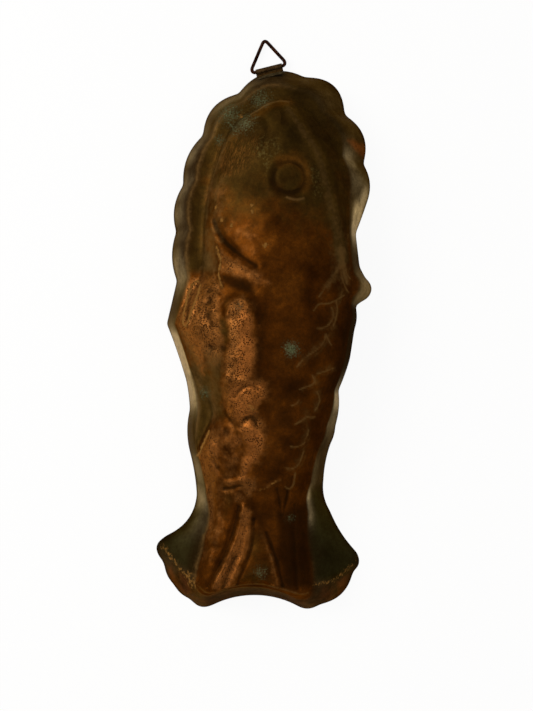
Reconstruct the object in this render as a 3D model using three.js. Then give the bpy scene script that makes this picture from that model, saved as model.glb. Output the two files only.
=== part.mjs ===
// A copper fish mould: one pressed sheet with scalloped walls, and a wire hanging loop held by a
// folded strap on the head end. It lies on its rim, head towards +Y, the fish's back towards +X.
import * as THREE from "three";

// Driving dimensions, in millimetres.
const sheet = 0.9; // thickness of the copper
const ledgeHeight = 27; // from the rim to the ledge round the fish
const wallRounding = 1.12; // 1 is a straight wall, more rounds its top edge
const edgeStep = 7; // how far the fish's edge stands above the ledge
const edgeRun = 2.4; // how quickly that edge rises
const leastLedge = 1.2;
const reliefRun = 6; // the relief is whole at one part in this of the way up the fish
const spineEnds = [150, -160]; // the crown line's two ends
const leastFall = 0.25; // the least step along the crown line, before it is scaled to its length
const roots = [0.3, 0.62, 0.86, 1]; // steps up the wall
const ledges = [0.5, 1]; // steps across the ledge
const crowns = [0.05, 0.11, 0.18, 0.27, 0.38, 0.5, 0.63, 0.76, 0.89, 1]; // steps up the fish
const stations = 76; // steps along each side, from head to tail
const widestLand = 1.5; // the rim's flat land, at most this many times the sheet

// The strap folded round the wire. The gap is between its inner leaf and the wall.
const strap = {
  length: 19,
  leaf: 0.6,
  leafHeight: 9,
  clearance: 0.35,
  gap: 0.35,
  centreZ: 2.9,
  wallHeight: 0.4, // the part of the wall whose slope the leaves follow
  steps: 20,
};
const wire = { radius: 1.05, sides: 10 };
// The wire's triangle: the ends of its straight side, its two bends and its apex.
const loop = {
  legStart: 9.4,
  cornerAlong: 12.8,
  bendOut: 3.4,
  bendAlong: 11.8,
  apexOut: 22,
  apexAlong: 1.5,
  apexBend: 0.16,
  droop: 4.2,
  straightSteps: 6,
  bendSteps: 5,
  apexSteps: 6,
};
const solder = { width: 20.5, height: 3.2, thickness: 1.5, toe: 0.35, hollow: 0.55, gap: 0.4, steps: 10 };

// The rim and the shoulder of the wall above it, station by station from the head end to the tail end.
// Each row is the rim's x and y, how far the rim bulges out on its way to the next row, and the
// shoulder's x and y.
const bellySide = [
  [-3, 189.2, 2.6, -2, 175],
  [-24.5, 173.4, 7.4, -20, 162.5],
  [-49, 143.4, 4.7, -40, 138],
  [-62, 108, 4, -50, 108.5],
  [-66, 74.5, 3.3, -53, 74],
  [-64.5, 40, 0, -53.5, 41.5],
  [-70.3, 11.5, 0.7, -60.5, 10.5],
  [-69.8, 7, -0.5, -60, 6],
  [-55.5, -31, -0.4, -47, -31],
  [-52.5, -51, 1.9, -44, -50.5],
  [-51.5, -81, -0.8, -42.5, -80],
  [-45.7, -111, -4.7, -35, -111.5],
  [-64, -139.5, 0.3, -35, -136],
  [-70.6, -144.3, 0.8, -36, -147],
  [-73.4, -150.7, 0.8, -40, -164.5],
  [-70.2, -157, -0.3, -40.6, -166],
  [-67.2, -162, 1.6, -41, -168],
  [-60, -175.4, 1.8, -40.5, -171.5],
  [-48, -185, 3.6, -39, -174.5],
  [-32.2, -188.8, -1.8, -32, -177],
  [-2.7, -180.5, 0, -2, -169.7],
];
const backSide = [
  [-3, 189.2, 2.3, -2, 175],
  [21.8, 185.6, 9.8, 15.3, 172.4],
  [50.7, 159.6, 7.2, 35, 158],
  [64.8, 125.4, 3, 49.5, 127],
  [68.8, 100.2, 0.2, 55.5, 99],
  [61, 76.5, 0, 56.5, 76],
  [64.5, 53, 0, 59, 54],
  [68.7, 45.4, 3.7, 60.5, 46],
  [70.6, 31, -0.3, 60, 31],
  [62.4, 25.6, 1.3, 59.3, 25.5],
  [62.2, 9.4, 0, 59, 9.5],
  [59.7, -11, 0.5, 56.5, -11],
  [52.2, -34, 1.4, 49.5, -33.5],
  [50.8, -59, 0.8, 45, -57.5],
  [47.9, -71.3, -1, 41.5, -70],
  [43.6, -97.5, -2, 35.4, -97],
  [48.9, -119, -1.6, 34, -118],
  [67.5, -146.3, 0.6, 36, -148],
  [70.4, -153.2, 0.6, 37.8, -163.5],
  [69.3, -158.2, -0.3, 38, -165],
  [66.2, -161, 5.6, 38.3, -167],
  [43.5, -185, 3, 37, -175],
  [26.7, -186.1, -1.8, 27, -176],
  [-2.7, -180.5, 0, -2, -169.7],
];

// The fish above the ledge: y, its belly edge, its crown, its back edge and the crown's height.
const column = { belly: 1, crown: 2, back: 3, height: 4 };
const fish = [
  [165, 8, 9, 8.5, 12],
  [163, -2, 9, 18, 14],
  [158, -9, 9, 26, 16],
  [150, -21, 9, 33, 18],
  [132, -32, 8.5, 46.5, 22],
  [100, -40.5, 8, 54, 26],
  [76, -43, 8, 55.5, 29],
  [52, -43, 7, 58.5, 31],
  [38, -45, 6, 60, 32],
  [12, -59.5, 4, 60, 33],
  [0, -57.5, 3, 58.5, 33],
  [-15, -52, 3, 55.5, 32],
  [-32, -41, 3, 49.5, 31],
  [-52, -33.5, 3, 46, 28],
  [-63, -37, 2, 43, 26],
  [-82, -44, 1, 38.5, 22],
  [-98, -36, 0, 34.8, 18],
  [-118, -34.5, 0, 33.5, 14],
  [-146, -36, -1, 35.5, 11],
  [-165, -40, -1, 37.5, 9],
  [-180, -40, -1, 37.5, 8],
];

// Pressed details that stand on the fish. A line is a rounded ridge, or a groove where it is negative.
const eye = { x: 16, y: 108, pupil: 9.5, ring: 13, ringWidth: 2.6, pupilHeight: 3.6, ringHeight: 2.6 };
const gillGroove = [[-35, 79], [-27, 66], [-17.5, 56.5], [-5, 49]];
const collar = [[-29, 57], [-16, 50], [-2, 43]];
const backRidge = [[19, 150], [29, 134.5], [40.5, 117], [45, 98], [48, 80], [51, 60]];
const finFork = [[51, 60], [50.5, 49], [37, 28]];
const finEdge = [[52, 58], [55, 50], [58.5, 34]];
const tailValley = [[3, -114], [-1, -142], [-9, -168]];
const endBead = [[-37, -173], [-31, -175.5], [-20, -172], [-2, -167.8], [13, -169], [27, -174], [35, -173]];
const lines = [
  { width: 3.6, height: -4, path: gillGroove },
  { width: 4, height: 2.6, path: collar },
  { width: 4, height: 2.2, path: backRidge },
  { width: 3.5, height: 2, path: finFork },
  { width: 3.5, height: 2, path: finEdge },
  { width: 4.5, height: -2.6, path: tailValley },
  { width: 2, height: 1.6, path: endBead },
  // The rays of the tail, from the belly side to the back.
  { width: 3, height: -2.4, path: [[-8, -115], [-31, -172]] },
  { width: 3, height: -2, path: [[-3, -116], [-19, -171]] },
  { width: 3, height: 2, path: [[7, -124], [13, -167]] },
  { width: 3.5, height: -2.4, path: [[14, -116], [21, -170]] },
  { width: 3, height: -2, path: [[22, -110], [29, -170]] },
];
// A pad is a raised patch with a soft edge.
const pectoralFin = [[-45, 41], [-54, 33], [-58.5, 16], [-57, 9], [-52, 20], [-45, 34]];
const tongue = [[-18, 27], [-8, 26], [-4, 15], [-2.5, -6], [-6, -26], [-23, -26], [-24, 0], [-22, 17]];
const bellyScute = [[-22, -27], [-8, -31], [6, -36], [4, -50], [-8, -52], [-20, -52]];
const lowerScute = [[-9, -54], [5, -56], [6, -71], [2, -86], [-8, -100], [-12, -78]];
const analFin = [[-31, -54], [-37, -64], [-45, -82], [-34, -86], [-25, -72]];
const pads = [
  { edge: 1.6, height: 3, outline: pectoralFin },
  { edge: 1.6, height: 4, outline: tongue },
  { edge: 1.6, height: 3, outline: bellyScute },
  { edge: 1.6, height: 2.4, outline: lowerScute },
  { edge: 1.4, height: 3, outline: analFin },
];

function mix(a, b, t) {
  return a + (b - a) * t;
}

// A point of the arc that bulges out from the straight line between two points.
function arcPoint(from, to, bulge, side, t) {
  const dx = to[0] - from[0];
  const dy = to[1] - from[1];
  const run = Math.hypot(dx, dy);
  const rise = 4 * bulge * t * (1 - t);
  const outX = (-dy / run) * side;
  const outY = (dx / run) * side;
  return [mix(from[0], to[0], t) + outX * rise, mix(from[1], to[1], t) + outY * rise];
}

// Rim and shoulder of one side, at equal steps of the distance round the rim.
function sideStations(rows, side) {
  const runs = rows.slice(1).map((row, k) => {
    const rim = Math.hypot(row[0] - rows[k][0], row[1] - rows[k][1]);
    const shoulder = Math.hypot(row[3] - rows[k][3], row[4] - rows[k][4]);
    return { rim, shoulder, run: (rim + shoulder) / 2 };
  });
  const whole = runs.reduce((sum, r) => sum + r.run, 0);
  return Array.from({ length: stations + 1 }, (_, i) => {
    let left = (whole * i) / stations;
    let k = 0;
    while (k < runs.length - 1 && left > runs[k].run) {
      left -= runs[k].run;
      k += 1;
    }
    const t = Math.min(1, left / runs[k].run);
    const carry = Math.min(1, runs[k].shoulder / runs[k].rim) ** 2;
    const [from, to] = [rows[k], rows[k + 1]];
    return {
      rim: arcPoint(from, to, from[2], side, t),
      shoulder: arcPoint(from.slice(3), to.slice(3), from[2] * carry, side, t),
    };
  });
}

// One column of the fish's rows at any y, on a smooth curve through them.
function fishAt(c, y) {
  const last = fish.length - 1;
  if (y >= fish[0][0]) return fish[0][c];
  if (y <= fish[last][0]) return fish[last][c];
  let k = 0;
  while (y < fish[k + 1][0]) k += 1;
  const [a, b] = [fish[k], fish[k + 1]];
  const before = fish[Math.max(0, k - 1)];
  const after = fish[Math.min(last, k + 2)];
  const gap = b[0] - a[0];
  const t = (y - a[0]) / gap;
  const slopeA = k ? ((b[c] - before[c]) / (b[0] - before[0])) * gap : b[c] - a[c];
  const slopeB = ((after[c] - a[c]) / (after[0] - a[0])) * gap;
  const cubic = t * t * (3 - 2 * t);
  return mix(a[c], b[c], cubic) + t * (1 - t) ** 2 * slopeA - t * t * (1 - t) * slopeB;
}

function insideFish(x, y) {
  return y < fish[0][0] && x > fishAt(column.belly, y) && x < fishAt(column.back, y);
}

// How far along the way from the shoulder to the crown line the fish's edge is met: a scan finds the
// step that crosses the edge and halving narrows it.
function edgeFraction(from, to) {
  const scanStep = 0.02;
  const halvings = 12;
  const run = Math.hypot(to[0] - from[0], to[1] - from[1]);
  let outside = 0;
  let inside = 1;
  for (let t = 0; t < 1; t += scanStep) {
    if (insideFish(mix(from[0], to[0], t), mix(from[1], to[1], t))) {
      inside = t;
      break;
    }
    outside = t;
  }
  for (let i = 0; i < halvings; i += 1) {
    const t = (outside + inside) / 2;
    if (insideFish(mix(from[0], to[0], t), mix(from[1], to[1], t))) inside = t;
    else outside = t;
  }
  return Math.max(inside, leastLedge / run);
}

function distanceToLine(path, x, y, closed = false) {
  let nearest = Infinity;
  const count = closed ? path.length : path.length - 1;
  for (let i = 0; i < count; i += 1) {
    const [ax, ay] = path[i];
    const [bx, by] = path[(i + 1) % path.length];
    const [dx, dy] = [bx - ax, by - ay];
    const t = Math.min(1, Math.max(0, ((x - ax) * dx + (y - ay) * dy) / (dx * dx + dy * dy)));
    nearest = Math.min(nearest, Math.hypot(x - ax - t * dx, y - ay - t * dy));
  }
  return nearest;
}

function insideOutline(outline, x, y) {
  let inside = false;
  outline.forEach(([ax, ay], i) => {
    const [bx, by] = outline[(i + 1) % outline.length];
    if (ay > y !== by > y && x < ax + ((bx - ax) * (y - ay)) / (by - ay)) inside = !inside;
  });
  return inside;
}

function relief(x, y) {
  let rise = 0;
  for (const line of lines) {
    const d = distanceToLine(line.path, x, y) / line.width;
    rise += line.height * Math.exp(-d * d);
  }
  for (const pad of pads) {
    const d = distanceToLine(pad.outline, x, y, true) * (insideOutline(pad.outline, x, y) ? 1 : -1);
    rise += pad.height / (1 + Math.exp((-2 * d) / pad.edge));
  }
  const r = Math.hypot(x - eye.x, y - eye.y);
  rise += eye.ringHeight * Math.exp(-(((r - eye.ring) / eye.ringWidth) ** 2));
  if (r < eye.pupil) rise += eye.pupilHeight * Math.sqrt(1 - (r / eye.pupil) ** 2);
  return rise;
}

// The crown line: one point for each station, its y following the shoulders on both sides.
function crownPoints(sides) {
  const middles = sides[0].map((s, i) => (s.shoulder[1] + sides[1][i].shoulder[1]) / 2);
  const falls = middles.map((y, i) => (i ? Math.max(0, middles[i - 1] - y) + leastFall : 0));
  const whole = falls.reduce((a, b) => a + b, 0);
  let fallen = 0;
  return falls.map((fall) => {
    fallen += fall;
    const y = mix(spineEnds[0], spineEnds[1], fallen / whole);
    return [fishAt(column.crown, y), y];
  });
}

function wallHeight(s) {
  return ledgeHeight * (1 - (1 - s) ** wallRounding);
}

// The outer surface: for each station and side, one row of points from the rim to the crown line.
function outerRows() {
  const sides = [sideStations(bellySide, -1), sideStations(backSide, 1)];
  const crownLine = crownPoints(sides);
  return sides.map((side) =>
    side.map(({ rim, shoulder }, i) => {
      const crown = crownLine[i];
      const edge = edgeFraction(shoulder, crown);
      const run = Math.hypot(crown[0] - shoulder[0], crown[1] - shoulder[1]);
      const between = (from, to, f, z) =>
        new THREE.Vector3(mix(from[0], to[0], f), mix(from[1], to[1], f), z);
      const row = [new THREE.Vector3(rim[0], rim[1], 0)];
      for (const s of roots) row.push(between(rim, shoulder, s, wallHeight(s)));
      for (const s of ledges) row.push(between(shoulder, crown, s * edge, ledgeHeight));
      for (const t of crowns) {
        const point = between(shoulder, crown, mix(edge, 1, t), ledgeHeight);
        const step = edgeStep * (1 - Math.exp((-t * (1 - edge) * run) / edgeRun));
        const dome = (fishAt(column.height, point.y) - edgeStep) * (1 - (1 - t) ** 2);
        point.z += step + dome + relief(point.x, point.y) * Math.min(1, reliefRun * t);
        row.push(point);
      }
      return row;
    }),
  );
}

// Both faces of the sheet and the narrow flat land between them at the rim, as one closed surface.
function shellGeometry() {
  const rows = outerRows();
  const width = rows[0][0].length;
  const outer = [];
  const indexOf = new Map();
  const grid = rows.map((side, s) =>
    side.map((row, i) =>
      row.map((point, j) => {
        const shared = i === 0 || i === stations || j === width - 1;
        const key = shared ? `${i}:${j}` : `${i}:${j}:${s}`;
        if (!indexOf.has(key)) {
          indexOf.set(key, outer.length);
          outer.push(point);
        }
        return indexOf.get(key);
      }),
    ),
  );
  const faces = [];
  const addQuad = (a, b, c, d) => {
    faces.push([a, b, c], [a, c, d]);
  };
  grid.forEach((side, s) => {
    for (let i = 0; i < stations; i += 1) {
      for (let j = 0; j < width - 1; j += 1) {
        const corners = [side[i][j], side[i + 1][j], side[i + 1][j + 1], side[i][j + 1]];
        if (s === 0) addQuad(...corners);
        else addQuad(...corners.reverse());
      }
    }
  });
  const kept = faces.filter(([a, b, c]) => a !== b && b !== c && a !== c);

  const normals = outer.map(() => new THREE.Vector3());
  const [ab, ac] = [new THREE.Vector3(), new THREE.Vector3()];
  for (const face of kept) {
    ab.subVectors(outer[face[1]], outer[face[0]]);
    ac.subVectors(outer[face[2]], outer[face[0]]);
    ab.cross(ac);
    for (const v of face) normals[v].add(ab);
  }
  const inner = outer.map((point, v) => point.clone().addScaledVector(normals[v].normalize(), -sheet));
  const rimLoop = [
    ...grid[0].map((row) => row[0]),
    ...grid[1].slice(1, -1).map((row) => row[0]).reverse(),
  ];
  for (const v of rimLoop) {
    const flat = Math.hypot(normals[v].x, normals[v].y);
    const inset = sheet * Math.min(widestLand, 1 / flat);
    inner[v].set(
      outer[v].x - (normals[v].x / flat) * inset,
      outer[v].y - (normals[v].y / flat) * inset,
      0,
    );
  }

  const positions = [...outer, ...inner].flatMap((p) => [p.x, p.y, p.z]);
  const count = outer.length;
  const index = kept.flat();
  for (const [a, b, c] of kept) index.push(count + a, count + c, count + b);
  rimLoop.forEach((a, i) => {
    const b = rimLoop[(i + 1) % rimLoop.length];
    index.push(b, a, count + a, b, count + a, count + b);
  });
  return closedGeometry(positions, index);
}

function closedGeometry(positions, index) {
  const geometry = new THREE.BufferGeometry();
  geometry.setAttribute("position", new THREE.Float32BufferAttribute(positions, 3));
  geometry.setIndex(index);
  geometry.computeVertexNormals();
  return geometry;
}

// Where the strap sits: the head end of the rim, square to the wall there.
const headRim = new THREE.Vector2(bellySide[0][0], bellySide[0][1]);
const strapTurn = Math.atan2(backSide[1][1] - bellySide[1][1], backSide[1][0] - bellySide[1][0]);
const wallInset = headRim.distanceTo(new THREE.Vector2(bellySide[0][3], bellySide[0][4]));
const wallUp = new THREE.Vector2(-wallInset * strap.wallHeight, wallHeight(strap.wallHeight)).normalize();
const wallOut = new THREE.Vector2(wallUp.y, -wallUp.x);
const barrelInner = wire.radius + strap.clearance;
const barrelOuter = barrelInner + strap.leaf;
const barrelCentre = wallOut
  .clone()
  .multiplyScalar(strap.gap + barrelOuter)
  .addScaledVector(wallUp, (strap.centreZ - wallOut.y * (strap.gap + barrelOuter)) / wallUp.y);

// The strip folded round the wire: a barrel, then two leaves laid together up the wall.
const leaves = 2 * strap.leaf;
const jointTurn = Math.acos((barrelOuter - leaves) / barrelOuter);
const leavesTop = barrelOuter * Math.sin(jointTurn) + strap.leafHeight;
const besideWall = (along, out) =>
  barrelCentre.clone().addScaledVector(wallUp, along).addScaledVector(wallOut, out - barrelOuter);

function strapGeometry() {
  const shape = new THREE.Shape();
  const start = besideWall(0, 0);
  const inward = wallOut.clone().negate().angle();
  shape.moveTo(start.x, start.y);
  shape.absarc(barrelCentre.x, barrelCentre.y, barrelOuter, inward, inward - jointTurn, false);
  const outerEnd = besideWall(leavesTop, leaves);
  const innerEnd = besideWall(leavesTop, 0);
  shape.lineTo(outerEnd.x, outerEnd.y);
  shape.lineTo(innerEnd.x, innerEnd.y);
  shape.closePath();
  const hole = new THREE.Path();
  hole.absarc(barrelCentre.x, barrelCentre.y, barrelInner, 0, 2 * Math.PI, true);
  shape.holes.push(hole);
  const geometry = new THREE.ExtrudeGeometry(shape, {
    depth: strap.length,
    bevelEnabled: false,
    curveSegments: strap.steps,
  });
  return standOnRim(geometry, -strap.length / 2);
}

// Turns a profile drawn in (out from the rim, up) so that its extrusion runs along the strap.
function standOnRim(geometry, along) {
  const basis = new THREE.Matrix4().makeBasis(
    new THREE.Vector3(0, 1, 0),
    new THREE.Vector3(0, 0, 1),
    new THREE.Vector3(1, 0, 0),
  );
  geometry.translate(0, 0, along);
  geometry.applyMatrix4(basis);
  return geometry;
}

// The fillet of solder in the corner between the wall and the leaves' upper end.
function solderGeometry() {
  const foot = leavesTop + solder.gap;
  const shape = new THREE.Shape();
  const back = besideWall(foot, 0);
  const front = besideWall(foot, solder.thickness);
  const bend = besideWall(foot + solder.height * solder.toe, solder.thickness * solder.hollow);
  const top = besideWall(foot + solder.height, solder.toe);
  const topBack = besideWall(foot + solder.height, 0);
  shape.moveTo(back.x, back.y);
  shape.lineTo(front.x, front.y);
  shape.quadraticCurveTo(bend.x, bend.y, top.x, top.y);
  shape.lineTo(topBack.x, topBack.y);
  shape.closePath();
  const geometry = new THREE.ExtrudeGeometry(shape, {
    depth: solder.width,
    bevelEnabled: false,
    curveSegments: solder.steps / 2,
    steps: solder.steps,
  });
  return standOnRim(geometry, -solder.width / 2);
}

// The wire triangle, drawn flat round the barrel's axis: x runs along the strap and y away from the rim.
function loopPoints() {
  const { legStart, cornerAlong, bendSteps, straightSteps } = loop;
  const apex = new THREE.Vector2(loop.apexAlong, loop.apexOut);
  const right = new THREE.Vector2(loop.bendAlong, loop.bendOut);
  const left = new THREE.Vector2(-loop.bendAlong, loop.bendOut);
  const nearApex = (side) => apex.clone().lerp(side, loop.apexBend);
  const points = [];
  const addBend = (from, corner, to, steps) => {
    points.push(...new THREE.QuadraticBezierCurve(from, corner, to).getPoints(steps));
  };
  for (let i = 0; i < straightSteps; i += 1) {
    points.push(new THREE.Vector2(mix(-legStart, legStart, i / straightSteps), 0));
  }
  addBend(new THREE.Vector2(legStart, 0), new THREE.Vector2(cornerAlong, 0), right, bendSteps);
  points.push(right.clone().lerp(nearApex(right), 0.5));
  addBend(nearApex(right), apex, nearApex(left), loop.apexSteps);
  points.push(nearApex(left).lerp(left, 0.5));
  addBend(left, new THREE.Vector2(-cornerAlong, 0), new THREE.Vector2(-legStart, 0), bendSteps);
  points.pop(); // the last point is the first one again
  return points;
}

// A round wire along a closed flat line.
function loopGeometry() {
  const points = loopPoints();
  const count = points.length;
  const positions = [];
  const index = [];
  points.forEach((point, i) => {
    const before = points[(i + count - 1) % count];
    const after = points[(i + 1) % count];
    const way = after.clone().sub(before).normalize();
    for (let j = 0; j < wire.sides; j += 1) {
      const angle = (2 * Math.PI * j) / wire.sides;
      const out = wire.radius * Math.cos(angle);
      positions.push(point.x + way.y * out, point.y - way.x * out, wire.radius * Math.sin(angle));
      const next = (j + 1) % wire.sides;
      const [a, b] = [i * wire.sides + j, i * wire.sides + next];
      const [c, d] = [((i + 1) % count) * wire.sides + next, ((i + 1) % count) * wire.sides + j];
      index.push(a, c, b, a, d, c);
    }
  });
  return closedGeometry(positions, index);
}

function named(name, geometry, colour, roughness, metalness) {
  const material = new THREE.MeshStandardMaterial({ color: colour, roughness, metalness });
  const mesh = new THREE.Mesh(geometry, material);
  mesh.name = name;
  return mesh;
}

const mould = new THREE.Group();
mould.add(named("mould_shell", shellGeometry(), 0x7d4925, 0.45, 0.9));

const hanger = new THREE.Group();
hanger.position.set(headRim.x, headRim.y, 0);
hanger.rotation.z = strapTurn;
hanger.add(named("hanger_strap", strapGeometry(), 0x6a4a26, 0.55, 0.8));
hanger.add(named("strap_solder", solderGeometry(), 0x6f6a58, 0.6, 0.7));
mould.add(hanger);

const hangerLoop = named("hanger_loop", loopGeometry(), 0x2a1c14, 0.6, 0.8);
const pivot = new THREE.Group();
pivot.position.set(0, barrelCentre.x, barrelCentre.y);
pivot.rotation.x = -THREE.MathUtils.degToRad(loop.droop);
pivot.add(hangerLoop);
hanger.add(pivot);

// The frame's origin lies under the middle of the whole object.
const part = new THREE.Group();
part.add(mould);
const extent = new THREE.Box3().setFromObject(part, true);
mould.position.set(-(extent.min.x + extent.max.x) / 2, -(extent.min.y + extent.max.y) / 2, 0);

export default part;
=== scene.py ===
import math

import bpy
import numpy as np
from mathutils import Matrix, Vector


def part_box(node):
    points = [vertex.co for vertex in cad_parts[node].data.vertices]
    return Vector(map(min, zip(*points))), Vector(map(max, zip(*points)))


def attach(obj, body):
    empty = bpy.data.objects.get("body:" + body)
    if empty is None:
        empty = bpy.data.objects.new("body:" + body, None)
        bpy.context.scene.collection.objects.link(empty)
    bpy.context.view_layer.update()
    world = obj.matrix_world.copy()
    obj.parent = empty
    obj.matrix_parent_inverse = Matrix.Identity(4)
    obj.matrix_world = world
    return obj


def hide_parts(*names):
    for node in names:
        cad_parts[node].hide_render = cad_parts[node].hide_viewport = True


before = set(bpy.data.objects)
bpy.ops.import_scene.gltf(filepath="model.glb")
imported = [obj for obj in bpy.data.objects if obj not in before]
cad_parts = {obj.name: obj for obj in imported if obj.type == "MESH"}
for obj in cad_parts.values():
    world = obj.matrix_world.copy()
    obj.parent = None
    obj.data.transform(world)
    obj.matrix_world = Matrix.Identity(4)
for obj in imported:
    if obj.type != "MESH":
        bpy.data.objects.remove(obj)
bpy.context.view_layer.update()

mm = 0.001

# the pressed sheet, in millimetres
mould = {
    "sheet": 0.9,
    "ledgeHeight": 27.0,
    "wallRounding": 1.12,
    "edgeStep": 7.0,
    "edgeRun": 3.6,
    "softRun": 6.0,  # where the ledge is at its narrowest
    "leastLedge": 1.2,
    "narrowLedge": 4.0,
    "reliefFade": 6.0,
    "fishSpacing": 1.15,  # above 1, the columns stand closer at the fish's foot
    "crownEnds": (150.0, -160.0),
    "leastFall": 0.0437,
    "stations": 430,
    "wallColumns": 14,
    "ledgeColumns": 6,
    "fishColumns": 72,
    "innerColumns": [0, 4, 8, 11, 14, 17, 20, 22, 26] + list(range(32, 93, 6)),
    "innerReach": 6,  # columns and rows of the outside that the inside stays below
    "innerRows": 2,
    "mostInset": 1.5,
    "cornerSmoothing": 10,
    "cornerWeight": (1.6, 3),
    "cuspSmoothing": 4,
    "cuspWeight": (1.2, 0.9),
    "smoothAngle": 50,
    "shift": (-0.0124, -10.438),  # from the tables' places to the frame's
}
shoulderColumn = mould["wallColumns"]
footColumn = shoulderColumn + mould["ledgeColumns"]

# each row: rim x and y, outward bulge on the way to the next row, shoulder x and y
bellySide = [
    (-3, 189.2, 2.6, -2, 175),
    (-24.5, 173.4, 7.4, -20, 162.5),
    (-49, 143.4, 4.7, -40, 138),
    (-62, 108, 4, -50, 108.5),
    (-66, 74.5, 3.3, -53, 74),
    (-64.5, 40, 0, -53.5, 41.5),
    (-70.3, 11.5, 0.7, -60.5, 10.5),
    (-69.8, 7, -0.5, -60, 6),
    (-55.5, -31, -0.4, -47, -31),
    (-52.5, -51, 1.9, -44, -50.5),
    (-51.5, -81, -0.8, -42.5, -80),
    (-45.7, -111, -4.7, -35, -111.5),
    (-64, -139.5, 0.3, -35, -136),
    (-70.6, -144.3, 0.8, -36, -147),
    (-73.4, -150.7, 0.8, -40, -164.5),
    (-70.2, -157, -0.3, -40.6, -166),
    (-67.2, -162, 1.6, -41, -168),
    (-60, -175.4, 1.8, -40.5, -171.5),
    (-48, -185, 3.6, -39, -174.5),
    (-32.2, -188.8, -1.8, -32, -177),
    (-2.7, -180.5, 0, -2, -169.7),
]
backSide = [
    (-3, 189.2, 2.3, -2, 175),
    (21.8, 185.6, 9.8, 15.3, 172.4),
    (50.7, 159.6, 7.2, 35, 158),
    (64.8, 125.4, 3, 49.5, 127),
    (68.8, 100.2, 0.2, 55.5, 99),
    (61, 76.5, 0, 56.5, 76),
    (64.5, 53, 0, 59, 54),
    (68.7, 45.4, 3.7, 60.5, 46),
    (70.6, 31, -0.3, 60, 31),
    (62.4, 25.6, 1.3, 59.3, 25.5),
    (62.2, 9.4, 0, 59, 9.5),
    (59.7, -11, 0.5, 56.5, -11),
    (52.2, -34, 1.4, 49.5, -33.5),
    (50.8, -59, 0.8, 45, -57.5),
    (47.9, -71.3, -1, 41.5, -70),
    (43.6, -97.5, -2, 35.4, -97),
    (48.9, -119, -1.6, 34, -118),
    (67.5, -146.3, 0.6, 36, -148),
    (70.4, -153.2, 0.6, 37.8, -163.5),
    (69.3, -158.2, -0.3, 38, -165),
    (66.2, -161, 5.6, 38.3, -167),
    (43.5, -185, 3, 37, -175),
    (26.7, -186.1, -1.8, 27, -176),
    (-2.7, -180.5, 0, -2, -169.7),
]

# the fish above the ledge: y, belly edge, crown, back edge, crown height
fish = np.array([
    (165, 8, 9, 8.5, 12),
    (163, -2, 9, 18, 14),
    (158, -9, 9, 26, 16),
    (150, -21, 9, 33, 18),
    (132, -32, 8.5, 46.5, 22),
    (100, -40.5, 8, 54, 26),
    (76, -43, 8, 55.5, 29),
    (52, -43, 7, 58.5, 31),
    (38, -45, 6, 60, 32),
    (12, -59.5, 4, 60, 33),
    (0, -57.5, 3, 58.5, 33),
    (-15, -52, 3, 55.5, 32),
    (-32, -41, 3, 49.5, 31),
    (-52, -33.5, 3, 46, 28),
    (-63, -37, 2, 43, 26),
    (-82, -44, 1, 38.5, 22),
    (-98, -36, 0, 34.8, 18),
    (-118, -34.5, 0, 33.5, 14),
    (-146, -36, -1, 35.5, 11),
    (-165, -40, -1, 37.5, 9),
    (-180, -40, -1, 37.5, 8),
], float)
bellyEdge, crownPlace, backEdge, crownHeight = 1, 2, 3, 4

# the unevenness of hand work: waves (turns for each millimetre of x and of y, phase, height)
waves = [(0.31, 0.17, 0.4, 0.16), (-0.22, 0.34, 1.9, 0.14), (0.45, -0.29, 3.1, 0.1), (0.12, 0.55, 5.0, 0.08)]

# what is pressed into the fish: the eye, rounded lines (width, height, path) and soft pads
# (edge, height, outline)
eye = {"x": 16, "y": 108, "pupil": 9.5, "pupilHeight": 1.6, "ring": 14.2, "ringWidth": 2.8, "ringHeight": 1.2,
       "moat": 10.8, "moatWidth": 3.0, "moatDepth": 0.5}


def roundEye(radius, first, last):
    turns = [math.radians(degrees) for degrees in range(first, last + 1, 15)]
    return [(eye["x"] + radius * math.cos(t), eye["y"] + radius * math.sin(t)) for t in turns]


eyeMoat = roundEye(11.6, 120, 330)
# the arc where a highlight is painted on the eye's ring
eyeHighlightArc = roundEye(11.8, -30, 120)

# paths on the mould for its relief and its tones
gillGroove = [(-35, 79), (-31.5, 71), (-26.5, 64.5), (-19.5, 58.5), (-12, 53), (-4, 48)]
collarEdge = [(-32, 61), (-30, 56), (-28.5, 49.5), (-30.5, 42.5), (-27, 34)]
collar = [(-29, 56), (-19, 50), (-11, 45.5), (-2, 39)]
collarShadow = [(-28, 42), (-24, 36), (-15, 31), (-7.5, 30), (-5, 37), (-12, 39.5), (-19, 41)]
backRidge = [(13, 158), (19.5, 148), (26.5, 138), (33.5, 128.5), (37.5, 118.5), (41.5, 105), (44, 94),
    (47.5, 80.5), (50.5, 68.5), (52.5, 56)]
faceLine = [(-25, 138), (-29.5, 131.5), (-33.5, 121), (-37, 112), (-39, 103), (-40.5, 91.5), (-41, 80)]
snoutLine = [(-12.5, 152.5), (-6, 156.5), (0.5, 160), (7.5, 162), (13, 161.5)]
eyeArc = [(15, 94), (20, 92.5), (26, 94)]
pectoralRib = [(-46, 38.5), (-50, 36), (-53, 28), (-54.5, 17), (-54.5, 8), (-51.5, 6.5), (-48.5, 16.5),
    (-45, 27), (-43.5, 36)]
tongueTop = [(-22, 15), (-22, 20.5), (-19, 25), (-14.5, 26.5), (-9, 24.5), (-6.5, 21)]
notches = [
    [(-16, -39), (-14, -36.5), (-11.5, -33.5), (-8, -31.2), (-3.5, -31), (0, -33)],
    [(-12.5, -59), (-9, -54.5), (-5, -52), (-2.5, -53.5), (-0.5, -57)],
]
lips = [
    [(-11, -38), (-6.5, -34.5), (-2.5, -34.5), (1, -36.5)],
    [(-11.5, -60.5), (-9, -57.5), (-5, -56.5), (-1, -60)],
]
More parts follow.
